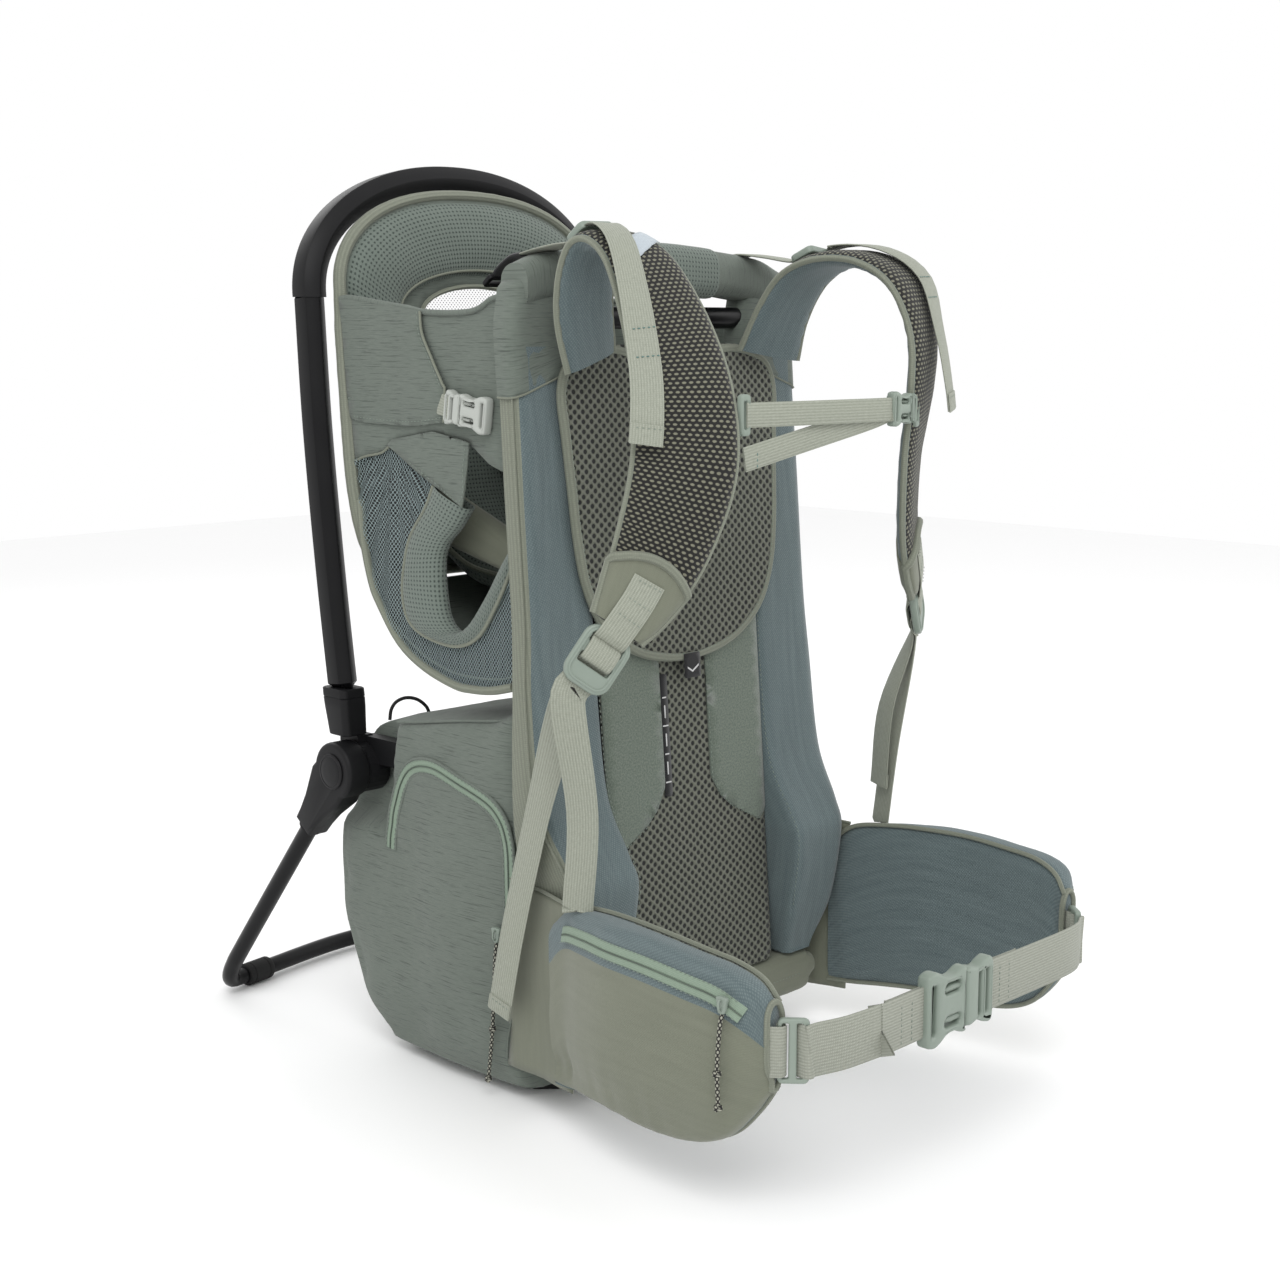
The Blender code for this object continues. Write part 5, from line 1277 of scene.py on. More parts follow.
def socket_plate(name, centre, axes, length, width, thick, paint, body, side=1):
    """Socket half; u runs from the webbing's end to the mouth."""
    rows = refine([(-0.50, 0.40), (-0.46, 0.47), (-0.30, 0.50), (-0.16, 0.46), (0.02, 0.385), (0.22, 0.375), (0.40, 0.43),
                   (0.50, 0.44)], 4)
    outline = mirrored_outline([(u * length, v * width) for u, v in rows])
    slot = oblong(length * 0.12, width * 0.66, length * 0.04, 3, (-length * 0.33, 0))
    windows = [oblong(length * 0.44, width * 0.15, width * 0.07, 4, (length * 0.16, s * width * 0.22)) for s in (1, -1)]
    return plate(name, [outline, slot] + windows, thick, thick * 0.24, centre, axes, paint, body, side)


def plug_plate(name, centre, axes, length, width, thick, paint, body, side=1, prongs=0.0):
    """Plug half; u runs from the socket's mouth to its own webbing bar. prongs reach back into the socket."""
    rows = refine([(-0.50, 0.42), (-0.30, 0.44), (-0.05, 0.40), (0.15, 0.46), (0.38, 0.50), (0.48, 0.44), (0.50, 0.36)], 4)
    outline = mirrored_outline([(u * length, v * width) for u, v in rows])
    slots = [oblong(length * 0.13, width * 0.66, length * 0.04, 3, (length * u, 0)) for u in (0.02, 0.28)]
    made = plate(name, [outline] + slots, thick, thick * 0.24, centre, axes, paint, body, side)
    if prongs:
        for k, s in enumerate((1, -1)):
            shape = [(-length * 0.45, s * width * 0.17), (-length * 0.45, s * width * 0.27), (-length * 0.6 - prongs * 0.5,
                     s * width * 0.285), (-length * 0.5 - prongs, s * width * 0.25), (-length * 0.5 - prongs, s * width * 0.18)]
            shape = shape if s > 0 else shape[::-1]
            plate(f"{name}_prong_{k}", [even(shape, 0.001, True)], thick * 0.6, thick * 0.18, centre, axes, paint, body,
                  side)
    return made


# %% Sternum strap
def sternum():
    near, far = HALF - 0.0640, HALF - 0.0545
    socket = far - 0.024
    line = [(-near, -0.264, 0.517), (-0.02, -0.270, 0.530), (socket - 0.030, -0.2750, 0.542),
            (socket - 0.0066, -0.2762, 0.5475), (socket - 0.0046, -0.2777, 0.5485), (socket - 0.0066, -0.2792, 0.5490),
            (socket - 0.030, -0.2790, 0.5490), (-0.02, -0.2740, 0.549), (-near, -0.266, 0.549)]
    web = band("sternum_band", refine(line, 6), [(0, 0, 1)], 0.018, WEB_T, WEBBING, None)
    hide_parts("sternum_webbing")
    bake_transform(web)
    axes = ((1, 0, 0), (0, 0, 1), (0, -1, 0))
    middle = socket - 0.0036
    female = socket_plate("sternum_socket", (middle + 0.011, -0.2777, 0.549), axes, 0.022, 0.027, 0.0085, SAGE_NYLON,
                          "sternum_clip")
    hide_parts("sternum_buckle_female")
    start = middle + 0.0224
    male = plug_plate("sternum_plug", ((start + far) / 2, -0.2777, 0.549), axes, far - start, 0.023, 0.0085, SAGE_NYLON,
                      "sternum_strap", 1, 0.014)
    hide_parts("sternum_buckle_male")
    short = [(far - 0.005, -0.2790, 0.549), (far + 0.004, -0.2785, 0.549), (far + 0.012, -0.2725, 0.549)]
    band("sternum_short_band", refine(short, 4), [(0, 0, 1)], 0.018, WEB_T, WEBBING, "sternum_strap")
    for name, x, y, z in (("sternum_slider_r", -near - 0.001, -0.2640, 0.549), ("sternum_slider_l", far + 0.010, -0.2735, 0.549)):
        ring = plate(name, [oblong(0.008, 0.030, 0.003), oblong(0.003, 0.0205, 0.001, 2)], 0.005, 0.0013, (x, y, z),
                     ((1, 0.25 * (-1 if x < 0 else 1), 0), (0, 0, 1), (0.25, -1, 0)), SAGE_NYLON, "sternum_strap")
    for z, tag in ((0.549, "high"), (0.519, "low")):
        row = [(-near + 0.012, -0.2668 if z > 0.53 else -0.2660, z + v) for v in np.linspace(-0.008, 0.008, 10)]
        dashes("sternum_stitches_" + tag, row, TEAL_THREAD, "sternum_strap")


sternum()


# %% Hip belt
def hip_lock(side):
    along = Vector((-0.66, -0.75, 0)).normalized()
    up, normal = Vector((0, 0, 1)), along.cross(Vector((0, 0, 1)))
    centre = Vector((HALF + 0.0250, -0.3900, BELT_Z - 0.005))
    holes = [oblong(0.0044, BELT_W + 0.0012, 0.001, 2, (step, 0)) for step in (-0.0055, 0.0045)]
    lock = plate(mirror_name("tri_glide", side), [oblong(0.022, BELT_W + 0.008, 0.004)] + holes, 0.005, 0.0014, centre,
                 (along, up, normal), SAGE_NYLON, "root", side)
    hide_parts(mirror_name("hip_lock", side))

    def at(step, lift):
        return centre + along * step + normal * lift

    loop = [at(-0.026, 0.004), at(-0.013, 0.0042), at(-0.0075, 0.0034), at(-0.0052, -0.0002), at(-0.0085, -0.0038),
            at(-0.016, -0.0036)]
    band(mirror_name("wing_loop", side), refine(loop, 5), [up], BELT_W - 0.002, 0.0016, GREY_WEBBING, "root", side)


def hip_belt():
    female, male = (-0.066, -0.020), (-0.0196, 0.014)
    centre, along = Vector((HALF + 0.0250, -0.3900, BELT_Z - 0.005)), Vector((-0.66, -0.75, 0)).normalized()
    normal = along.cross(Vector((0, 0, 1)))
    for side, inner in ((-1, -female[0]), (1, male[1])):
        tag = lambda name: mirror_name(name, side)
        line = [centre + along * 0.0015 + normal * 0.0034, centre + along * 0.0048 + normal * 0.0002,
                centre + along * 0.0100 - normal * 0.0030, (HALF + 0.0145, BELT_Y + 0.0155, BELT_Z - 0.004),
                (HALF - 0.0055, BELT_Y + 0.006, BELT_Z - 0.002), (HALF - 0.0355, BELT_Y, BELT_Z),
                (inner + 0.045, BELT_Y - 0.0005, BELT_Z), (inner + 0.0004, BELT_Y, BELT_Z), (inner - 0.004, BELT_Y, BELT_Z)]
        run = refine(line, 6)
        web = band(tag("hip_band"), run, [(0, 0, 1)], BELT_W, 0.0018, GREY_WEBBING, None, side)
        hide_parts(tag("hip_webbing"))
        if side > 0:
            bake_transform(web)
        else:
            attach(web, "root")
        body = "hip_clip" if side > 0 else "root"
        back = [(inner - 0.003, BELT_Y + 0.0032, BELT_Z), (inner + 0.006, BELT_Y + 0.0030, BELT_Z),
                (inner + 0.036, BELT_Y + 0.0026, BELT_Z), (inner + 0.040, BELT_Y + 0.0036, BELT_Z)]
        band(tag("hip_band_end"), refine(back, 4), [(0, 0, 1)], BELT_W - 0.001, 0.0018, GREY_WEBBING, body, side)
        for k, x in enumerate((inner + 0.014, inner + 0.026)):
            row = [(side * x, BELT_Y - 0.0013, BELT_Z + v) for v in np.linspace(-0.016, 0.016, 14)]
            dashes(tag(f"hip_band_stitches_{k}"), row, THREAD, body)
    axes = ((1, 0, 0), (0, 0, 1), (0, -1, 0))
    socket = socket_plate("hip_socket", ((female[0] + female[1]) / 2, BELT_Y, BELT_Z), axes, 0.046, 0.056, 0.012,
                          SAGE_NYLON, "root")
    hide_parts("hip_buckle_female")
    plug = plug_plate("hip_plug", ((male[0] + male[1]) / 2, BELT_Y, BELT_Z), axes, male[1] - male[0], 0.050, 0.012,
                      SAGE_NYLON, "hip_clip", 1, 0.026)
    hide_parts("hip_buckle_male")


for side in (-1, 1):
    hip_lock(side)
hip_belt()
print("buckles and belt done")

# %% [markdown]
# ## Cockpit
# The child sits between two cloth sides, a padded headrest with a net window, a front rim and a sling. Each side is cut
# like the real one: an upper panel, an entry flap over it, a small gusset, pleated net below and a thick waffle cuff
# round the leg opening. The patterns are drawn flat as (y, z) and laid on the side, a little outside one another.

# %% Cockpit sides
SIDE_X = HALF + 0.0010
RIM_LINE = [(0.105, 0.6345), (0.060, 0.629), (0.033, 0.626), (0.015, 0.623), (-0.017, 0.622), (-0.041, 0.623),
            (-0.054, 0.626), (-0.066, 0.632)]
CUFF_OUT = [(0.004, 0.487), (0.014, 0.469), (0.034, 0.444), (0.042, 0.421), (0.045, 0.397), (0.038, 0.376),
            (0.017, 0.365), (-0.020, 0.361), (-0.048, 0.372), (-0.070, 0.400), (-0.0865, 0.428)]
CUFF_IN = [(-0.033, 0.471), (-0.019, 0.455), (-0.004, 0.441), (0.002, 0.425), (0.000, 0.397), (-0.006, 0.379),
           (-0.020, 0.371), (-0.038, 0.381), (-0.058, 0.407), (-0.076, 0.433), (-0.0870, 0.446)]


def fore(z):
    return (pillar_rear(z) + 0.0008, z)


def aft(z):
    return (headrest_front(z) - 0.0004, z)


def on_side(side, lift=0.0, relief=None):
    """Places a (y, z) pattern on a cockpit side; relief(y, z) adds folds."""
    return lambda y, z: (side * (SIDE_X + lift + (relief(y, z) if relief else 0.0)), y, z)


def creases(y, z):
    """Shallow drapes of the upper cloth."""
    return 0.0010 * wobble((y * 0.5, z * 1.8, 0), 22, 6) + 0.0008 * math.sin(2.6 * y / 0.03) * smooth_step(0.60, 0.53, z)


def pleats(y, z):
    """Soft pleats of the net, fanning out from under the gusset."""
    turn = math.atan2(y - 0.055, 0.535 - z)
    reach = math.hypot(y - 0.055, 0.535 - z)
    return (0.0016 * math.sin(turn * 34) + 0.0014 * math.sin(turn * 13 + 1)) * smooth_step(0.012, 0.055, reach) * \
        smooth_step(0.24, 0.10, reach)


def cockpit_side(side):
    tag = lambda name: mirror_name(name, side)
    upper = [aft(0.634)] + RIM_LINE + [fore(0.632), fore(0.58), fore(0.54), fore(0.498), (-0.063, 0.507), (-0.044, 0.520),
                                       (0.003, 0.529), (0.040, 0.523), (0.070, 0.510), aft(0.502), aft(0.56), aft(0.60)]
    panel = patch(tag("side_upper"), even(upper, 0.005, True), on_side(side, 0, creases), HEATHER, "root",
                  0.008, 0.0014)
    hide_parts(tag("cockpit_side"))
    flap_edge = [(0.0150, 0.6235), (0.012, 0.606), (0.001, 0.586), (-0.012, 0.568), (-0.0155, 0.5615), (-0.011, 0.5375)]
    flap = [aft(0.635)] + RIM_LINE[:3] + [tuple(p) for p in refine(flap_edge, 4)] + [
        (0.019, 0.534), (0.046, 0.533), (0.094, 0.5345), aft(0.537), aft(0.58), aft(0.61)]

    def lifted(y, z):
        return creases(y, z) + 0.0016 * smooth_step(0.10, 0.02, y) + 0.0010 * math.exp(-((z - 0.56) / 0.012) ** 2)

    patch(tag("entry_flap"), even(flap, 0.004, True), on_side(side, 0.0016, lifted), HEATHER, "root",
          0.007, 0.0012)
    place = on_side(side, 0.0022, lifted)
    cord(tag("flap_edge"), even([place(y, z) for y, z in refine(flap_edge, 5)], 0.004), 0.0011, BINDING, "root",
         8)
    dashes(tag("flap_stitches"), [place(y + 0.004, z) for y, z in refine(flap_edge[:5], 5)], THREAD, "root")
    dashes(tag("flap_foot_stitches"), [place(y, z + 0.0035) for y, z in refine([(-0.008, 0.5375), (0.019, 0.534),
           (0.046, 0.533), (0.094, 0.5345), (0.106, 0.536)], 6)], THREAD, "root")
    gusset = [(0.062, 0.5165), (0.056, 0.5215), (0.003, 0.5300), (-0.043, 0.5230), (-0.0405, 0.505), (-0.033, 0.4720),
              (0.004, 0.488), (0.033, 0.502)]

    def tent(y, z):
        return creases(y, z) + 0.0008 + 0.0020 * smooth_step(0.03, -0.03, y)

    patch(tag("entry_gusset"), even(gusset, 0.004, True), on_side(side, 0.0008, tent), HEATHER, "root",
          0.006, 0.0012)
    edge = on_side(side, 0.0022, tent)
    dashes(tag("gusset_stitches"), [edge(y, z) for y, z in refine([(-0.0395, 0.519), (-0.0365, 0.505), (-0.0305, 0.477),
           (0.004, 0.4915), (0.033, 0.505)], 6)], THREAD, "root")
    seam = [aft(0.502), (0.090, 0.5065), (0.070, 0.510), (0.060, 0.5155)]
    cord(tag("net_seam"), even([on_side(side, 0.0012)(y, z) for y, z in refine(seam, 4)], 0.004), 0.0010, BINDING,
         "root", 8)
    belly = [aft(0.47), aft(0.435), (0.088, 0.402), (0.078, 0.385), (0.053, 0.356), (0.022, 0.339), (-0.015, 0.329),
             (-0.035, 0.328), (-0.060, 0.330), (-0.085, 0.336)]
    belly = [tuple(p) for p in refine(belly, 4)]
    lower = [aft(0.503)] + belly + [fore(0.350), fore(0.39)] + [tuple(p) for p in refine(CUFF_OUT[::-1], 3)] + [
        (0.033, 0.502), (0.062, 0.5145), (0.090, 0.5065)]
    patch(tag("side_net"), even(lower, 0.004, True), on_side(side, 0.0, pleats), NET, "root", 0.005, 0.0)
    patch(tag("side_lining"), even(lower, 0.006, True), on_side(side, -0.0048), LINING, "root",
                   0.012, 0.0008)
    cord(tag("belly_binding"), even([on_side(side, -0.001)(y, z) for y, z in belly], 0.004), 0.0036, BINDING, "root",
         10)
    rows = []
    for out, into in zip(refine(CUFF_OUT, 5), refine(CUFF_IN, 5)):
        out, into = Vector(out), Vector(into)
        inward = (into - out).normalized()
        pucker = 0.0006 * wobble((out.x, out.y, side), 90)
        row = [(out - inward * 0.002, -0.0005), (out, 0.0022), (out.lerp(into, 0.25), 0.0046 + pucker),
               (out.lerp(into, 0.55), 0.0050 - pucker), (out.lerp(into, 0.85), 0.0032), (into, 0.0002),
               (into + inward * 0.0015, -0.0040), (into + inward * 0.0008, -0.0085), (into - inward * 0.003, -0.0115),
               (out.lerp(into, 0.4), -0.0105)]
        rows.append([(side * (SIDE_X + x), p.x, p.y) for p, x in row])
    cuff = skin(tag("leg_cuff"), rows, WAFFLE, "root", around=False, sharp=80)
    if side > 0:
        cuff.data.flip_normals()
    line = [(side * (SIDE_X + 0.0018), y, z) for y, z in refine(CUFF_OUT, 5)]
    cord(tag("cuff_binding"), even(line, 0.004), 0.0016, BINDING, "root", 8)
    rim = [aft(0.634)] + RIM_LINE + [fore(0.634)]
    cord(tag("side_rim"), even([on_side(side, 0.0004)(y, z) for y, z in refine(rim, 4)], 0.004), 0.0024, HEATHER, "root",
         10)
    axes = ((0, -1, -0.14), (0, -0.14, 1), (1, 0, 0))
    centre = Vector((HALF + 0.0074, -0.045, 0.547))
    along = Vector(axes[0]).normalized()
    left = socket_plate(tag("entry_socket"), centre + along * 0.0085, [-Vector(axes[0]), axes[1], axes[2]], 0.031, 0.029,
                        0.0095, PALE_NYLON, "root", side)
    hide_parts(tag("side_buckle"))
    plug_plate(tag("entry_plug"), centre - along * 0.0160, [-Vector(axes[0]), axes[1], axes[2]], 0.017, 0.027, 0.0090,
               PALE_NYLON, "root", side, 0.016)
    loop = [centre - along * 0.040 - Vector((0.0032, 0, 0)), centre - along * 0.030 - Vector((0.0012, 0, 0)),
            centre - along * 0.0215 + Vector((0.0028, 0, 0)), centre - along * 0.0175 - Vector((0.001, 0, 0)),
            centre - along * 0.0215 - Vector((0.0040, 0, 0))]
    band(tag("entry_loop"), refine(loop, 5), [axes[1]], 0.0175, 0.0014, WEBBING, "root", side)


LINING = spacer_mesh("lining", (0.055, 0.068, 0.066), (0.012, 0.014, 0.014), (0.0046, 0.0046), (0.0013, 0.0013))
for side in (-1, 1):
    cockpit_side(side)
print("cockpit sides cut")


# %% Headrest
def arch(half, rise, base, power=2.3, count=40):
    found = []
    for i in range(count + 1):
        a = math.pi * i / count
        found.append((half * math.copysign(abs(math.cos(a)) ** (2 / power), math.cos(a)),
                      base + rise * max(math.sin(a), 0) ** (2 / power)))
    return found


def headrest():
    low = [(-0.155, 0.551), (-0.156, 0.480), (-0.149, 0.432), (-0.134, 0.410), (-0.110, 0.4005)]
    low = [tuple(p) for p in refine([(-0.152, 0.640)] + low, 3)][1:]
    edge = arch(0.1505, 0.0875, 0.640) + low + [(-x, z) for x, z in reversed(low)]
    inner = [(a * 0.972, 0.56 + (b - 0.56) * 0.976) for a, b in edge]
    window = [(0.064 * math.cos(t), 0.621 + 0.025 * math.sin(t)) for t in np.linspace(0, 2 * math.pi, 36, endpoint=False)]
    middle = lambda a, b: (a, headrest_front(b) + 0.0065, b)
    shell = patch("headrest_shell", even(inner, 0.006, True), middle, HEATHER, "root", 0.010, 0.0070,
                  [window])
    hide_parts("headrest_panel")
    wide = [(a * 1.04, 0.621 + (b - 0.621) * 1.06) for a, b in window]
    patch("headrest_window", even(wide, 0.005, True), lambda a, b: (a, headrest_front(b) + 0.0062, b), WINDOW_NET, "root",
          0.006, 0.0)
    ring_binding("window_binding", window, lambda a, b: (a, headrest_front(b) + 0.0040, b), 0.0022, 0.0034, "root")
    ring_binding("headrest_binding", inner, lambda a, b: (a, headrest_front(b) + 0.0062, b), 0.0048, 0.0066, "root")
    stitches = [(a * 0.955, headrest_front(b) + 0.0016, 0.56 + (b - 0.56) * 0.962) for a, b in edge]
    dashes("headrest_stitches", stitches, THREAD, "root")
    outer = even([(0.1385, 0.560), (0.1400, 0.62)] + arch(0.1405, 0.0775, 0.640) + [(-0.1400, 0.62), (-0.1385, 0.560)], 0.004)
    under = even([(0.095, 0.560), (0.092, 0.60)] + arch(0.087, 0.033, 0.622, 2.0) + [(-0.092, 0.60), (-0.095, 0.560)], 0.002)
    count = len(outer)
    under = np.array([under[int(round(k * (len(under) - 1) / (count - 1)))] for k in range(count)])
    rows = []
    for p, q in zip(outer, under):
        row = []
        for t in np.linspace(0, 1, 15):
            a, b = p * (1 - t) + q * t
            puff = math.sin(math.pi * min(1, max(0, t))) ** 0.45 * (0.8 + 0.2 * wobble((a, b, 0), 26, 8))
            ends = smooth_step(0.560, 0.585, b)
            row.append((a, headrest_front(b) + 0.0032 - 0.0125 * puff * ends, b))
        rows.append(row)
    pad = skin("headrest_pad", rows, WAFFLE, "root", around=False, sharp=80)
    cord("pad_piping", even([rows[k][-2] for k in range(count)], 0.004), 0.0013, BINDING, "root", 8)
    return shell


shell = headrest()


# %% Front rim and pillar hoods
def round_bar(name, places, wide, tall, paint, body, centre):
    """Soft bar along X: at each share of its length, its half length, lift and size."""
    rings = []
    for x, lift, size in places:
        ring = [(x, centre[0] + a * size, centre[1] + lift + b * size + 0.0007 * wobble((x, a * 4, b * 4), 34))
                for a, b in oblong(wide, tall, min(wide, tall) * 0.42, 5)]
        rings.append(ring)
    return skin(name, rings, paint, body, sharp=80)


def front_rim():
    half = HALF - 0.0022
    shares = [(-1, -0.010), (-0.8, -0.002), (-0.4, 0.004), (0, 0.006), (0.4, 0.004), (0.8, -0.002), (1, -0.010)]
    fine = refine([(t * half, lift, 0.97 if abs(t) < 0.99 else 0.90) for t, lift in shares], 6)
    rim = round_bar("rim_roll", fine, 0.033, 0.039, HEATHER, "root", (-0.088, 0.651))
    swell(rim, 0.005, 2.0, 0.0015)
    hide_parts("front_rim")
    pad_rows = [(x, 0.0062 - 0.0022 * (x / 0.06) ** 2, s) for x, s in ((-0.064, 0.96), (-0.0635, 1.02), (-0.060, 1.055),
                (-0.04, 1.07), (0, 1.075), (0.04, 1.07), (0.060, 1.055), (0.0635, 1.02), (0.064, 0.96))]
    pad = round_bar("rim_pad", refine(pad_rows, 3), 0.033, 0.039, WAFFLE, "root", (-0.088, 0.6505))
    for side in (-1, 1):
        tab = [(side * 0.121, -0.078, 0.6660), (side * 0.121, -0.066, 0.6640), (side * 0.121, -0.052, 0.6560),
               (side * 0.121, -0.044, 0.6480)]
        band(mirror_name("shade_tab", side), refine(tab, 5), [(1, 0, 0)], 0.024, 0.0030, DARK_CLOTH, "root")
        plate(mirror_name("shade_ring", side), [oblong(0.012, 0.030, 0.003), oblong(0.004, 0.022, 0.001, 2)], 0.004, 0.001,
              (side * 0.121, -0.0425, 0.6465), ((0, 1, -0.8), (1, 0, 0), (0, 0.8, 1)), BLACK_NYLON, "root")


def hood(side):
    """Cloth over the pillar's top, which runs up to the rim; its lower seam rises towards the middle."""
    rings = []
    for z, grow in [(0.5585, -0.0006), (0.5586, 0.0010)] + [(z, 0.0012) for z in np.linspace(0.563, 0.640, 12)] + [
            (0.6455, -0.002), (0.6480, -0.010)]:
        top = smooth_step(0.606, 0.648, z)
        x_out, x_in = 0.1625 - 0.010 * top + grow, 0.0950 + 0.012 * top - grow
        front, rear = panel_front(min(z, 0.60)) + 0.0006 + 0.004 * top - grow * 0.2, pillar_rear(z) + 0.003 * top + grow * 0.6
        ring = [(x_out - 0.001, rear), (x_out, (rear + front) / 2), (x_out - 0.0006, front + 0.007),
                (x_out - 0.0032, front + 0.0025), (x_out - 0.009, front)]
        ring += [(x_out + (x_in - x_out) * t, front - 0.0003 * wobble((t, z, side), 6)) for t in np.linspace(0.25, 0.85, 6)]
        ring += [(x_in + 0.003, front + 0.0008), (x_in, front + 0.005), (x_in, rear - 0.002), (x_in + 0.002, rear)]
        slant = 0.024 * (1 - smooth_step(0.5586, 0.615, z))
        rings.append([(side * x, y, z + slant * (x_out - x) / (x_out - x_in)) for x, y in ring])
    made = skin(mirror_name("pillar_hood", side), rings, HEATHER, "root", sharp=75)
    seam = [(x + side * 0.0002, y - 0.0003, z) for x, y, z in [tuple(p) for p in rings[1]]]
    cord(mirror_name("hood_seam", side), even(seam[:12], 0.004), 0.0008, BINDING, "root", 8)


front_rim()
for side in (-1, 1):
    hood(side)
print("rim and hoods done")


# %% Seat, harness and sling
def child_seat():
    shape = [(-0.066, 0.404, 0.050, 0.016), (-0.055, 0.404, 0.054, 0.024), (-0.030, 0.404, 0.060, 0.028),
             (0.030, 0.406, 0.065, 0.028), (0.062, 0.416, 0.075, 0.026), (0.0825, 0.445, 0.088, 0.025),
             (0.0925, 0.500, 0.092, 0.022), (0.0985, 0.575, 0.084, 0.018), (0.1025, 0.598, 0.070, 0.010)]
    fine = refine(shape, 6)
    rings = []
    for i, (y, z, half, thick) in enumerate(fine):
        after, before = fine[min(i + 1, len(fine) - 1)], fine[max(i - 1, 0)]
        along = Vector((0, after[0] - before[0], after[1] - before[1])).normalized()
        normal = along.cross(Vector((1, 0, 0)))
        ring = []
        for a, b in oblong(2 * half, thick, thick * 0.48, 5):
            quilt = 0.0012 * abs(math.sin(a / 0.030 * math.pi)) * (1 if b > 0 else 0)
            ring.append(Vector((0, y, z)) + Vector((a, 0, 0)) + normal * (b - quilt))
        rings.append(ring)
    seat = skin("seat_pad", rings, WAFFLE, "seat", sharp=80)
    swell(seat, 0.006, 2.5, 0.002)
    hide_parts("child_seat")
    for side in (-1, 1):
        rim = [(side * (half - 0.001), y, z) for y, z, half, _ in fine[3:-3]]
        cord(mirror_name("seat_piping", side), even(rim, 0.004), 0.0022, BINDING, "seat", 8)


def harness():
    def ahead(x, z, lift=0.0008):
        return (x, 0.0644 + 0.157 * (z - 0.44) - lift, z)

    for side in (-1, 1):
        run = [ahead(side * 0.056, 0.583, -0.001), ahead(side * 0.054, 0.578), ahead(side * 0.034, 0.535), ahead(side * 0.014, 0.497, 0.003)]
        strap_web = band(mirror_name("harness_band", side), refine(run, 6), [(1, 0, 0.45 * -side)], 0.017, WEB_T, GREY_WEBBING,
                         "seat")
        if side < 0:
            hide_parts("child_harness")
        pad = [ahead(side * x, z, 0.0028) for x, z in ((0.0515, 0.572), (0.0495, 0.567), (0.0405, 0.548), (0.033, 0.532), (0.0315, 0.529))]
        rings = []
        for point, across, normal in frames_along(refine(pad, 3), [(1, 0, 0.45 * -side)]):
            rings.append([point + across * a + normal * b for a, b in oblong(0.024, 0.006, 0.0028, 3)])
        sleeve = skin(mirror_name("harness_pad", side), rings, WAFFLE, "seat", sharp=80)
    band("harness_crotch", refine([ahead(0, 0.473, 0.003), ahead(0, 0.460), ahead(0, 0.447)], 4), [(1, 0, 0)], 0.022, WEB_T,
         GREY_WEBBING, "seat")
    axes = ((0, 0.157, 1), (1, 0, 0), (0, -1, 0.157))
    y = 0.066 + 0.157 * 0.045 - 0.0016 - 0.0004 - 0.0062
    body = plate("harness_clasp", [oblong(0.038, 0.032, 0.009, 5)], 0.010, 0.003, (0, y, 0.485), axes, BLACK_NYLON, "seat")
    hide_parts("harness_buckle")
    plate("harness_button", [oblong(0.017, 0.017, 0.0085, 6)], 0.004, 0.0012, (0, y - 0.0052, 0.4846), axes, SAGE_NYLON, "seat")


def sling():
    line = refine([(0.0945, 0.3975), (0.074, 0.3775), (0.050, 0.359), (0.020, 0.345), (-0.015, 0.337), (-0.060, 0.338),
                   (-0.0880, 0.347), (-0.0955, 0.372)], 6)
    wide = HALF - 0.0022
    rows = [[(x, y, z + 0.0008 * wobble((x, y, 0), 25)) for x in np.linspace(-wide, wide, 31)] for y, z in line]
    cloth_bottom = skin("cockpit_floor", rows, HEATHER, "root", around=False, sharp=80)
    cloth_bottom.modifiers.new("Thickness", "SOLIDIFY").thickness = 0.0016
    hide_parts("cockpit_sling")


def seat_base():
    """Firm block under the seat, between it and the sling, with a soft roll in front of the backrest."""
    rings = []
    for y, wide, low, high in refine([(-0.066, 0.058, 0.346, 0.380), (-0.060, 0.066, 0.3435, 0.3910), (0.0, 0.070, 0.3435, 0.3915),
                                      (0.036, 0.066, 0.3575, 0.3915), (0.044, 0.058, 0.364, 0.388)], 4):
        rings.append([(a, y, (low + high) / 2 + b) for a, b in oblong(2 * wide, high - low, 0.008, 4)])
    base_block = skin("seat_base", rings, OLIVE_TWILL, "root", sharp=80)
    for side in (-1, 1):
        rows = []
        for s in np.linspace(0, 1, 18):
            y, z = 0.070 - 0.118 * s, 0.470 - 0.045 * s
            ring = [(side * (0.113 - 0.016 * s + a), y + 0.0, z + b) for a, b in oblong(0.020, 0.052 * (1 - 0.4 * s), 0.0095, 4)]
            rows.append(ring)
        wing = skin(mirror_name("seat_bolster", side), rows, OLIVE_TWILL, "root", sharp=80)


child_seat()
seat_base()
harness()
sling()

# %% [markdown]
# ## Storage bag
# The bag is a full, soft shape. Its side profile is kept as one closed curve, and each ring of the skin is that profile
# shrunk towards its middle while x swells outwards, like a pillow. The same sum gives the surface under any (y, z), so
# the zip can be laid on it.

# %% Bag skin
BAG = closed_curve([(-0.0995, 0.316), (-0.060, 0.3085), (-0.020, 0.303), (0.035, 0.294), (0.085, 0.285), (0.112, 0.270),
                    (0.131, 0.225), (0.144, 0.178), (0.142, 0.116), (0.131, 0.075), (0.109, 0.034), (0.080, 0.011),
                    (0.058, 0.0050), (-0.080, 0.0050), (-0.0965, 0.020), (-0.0990, 0.100), (-0.0990, 0.180),
                    (-0.0995, 0.250)], 5)
MIDDLE = np.array((0.015, 0.150))
SWELLING = [(0.0, 0.1622), (0.3, 0.1618), (0.6, 0.1611), (0.78, 0.1602), (0.86, 0.1590), (0.93, 0.1560), (0.965, 0.1515),
            (0.985, 0.1440), (1.0, 0.1300)]


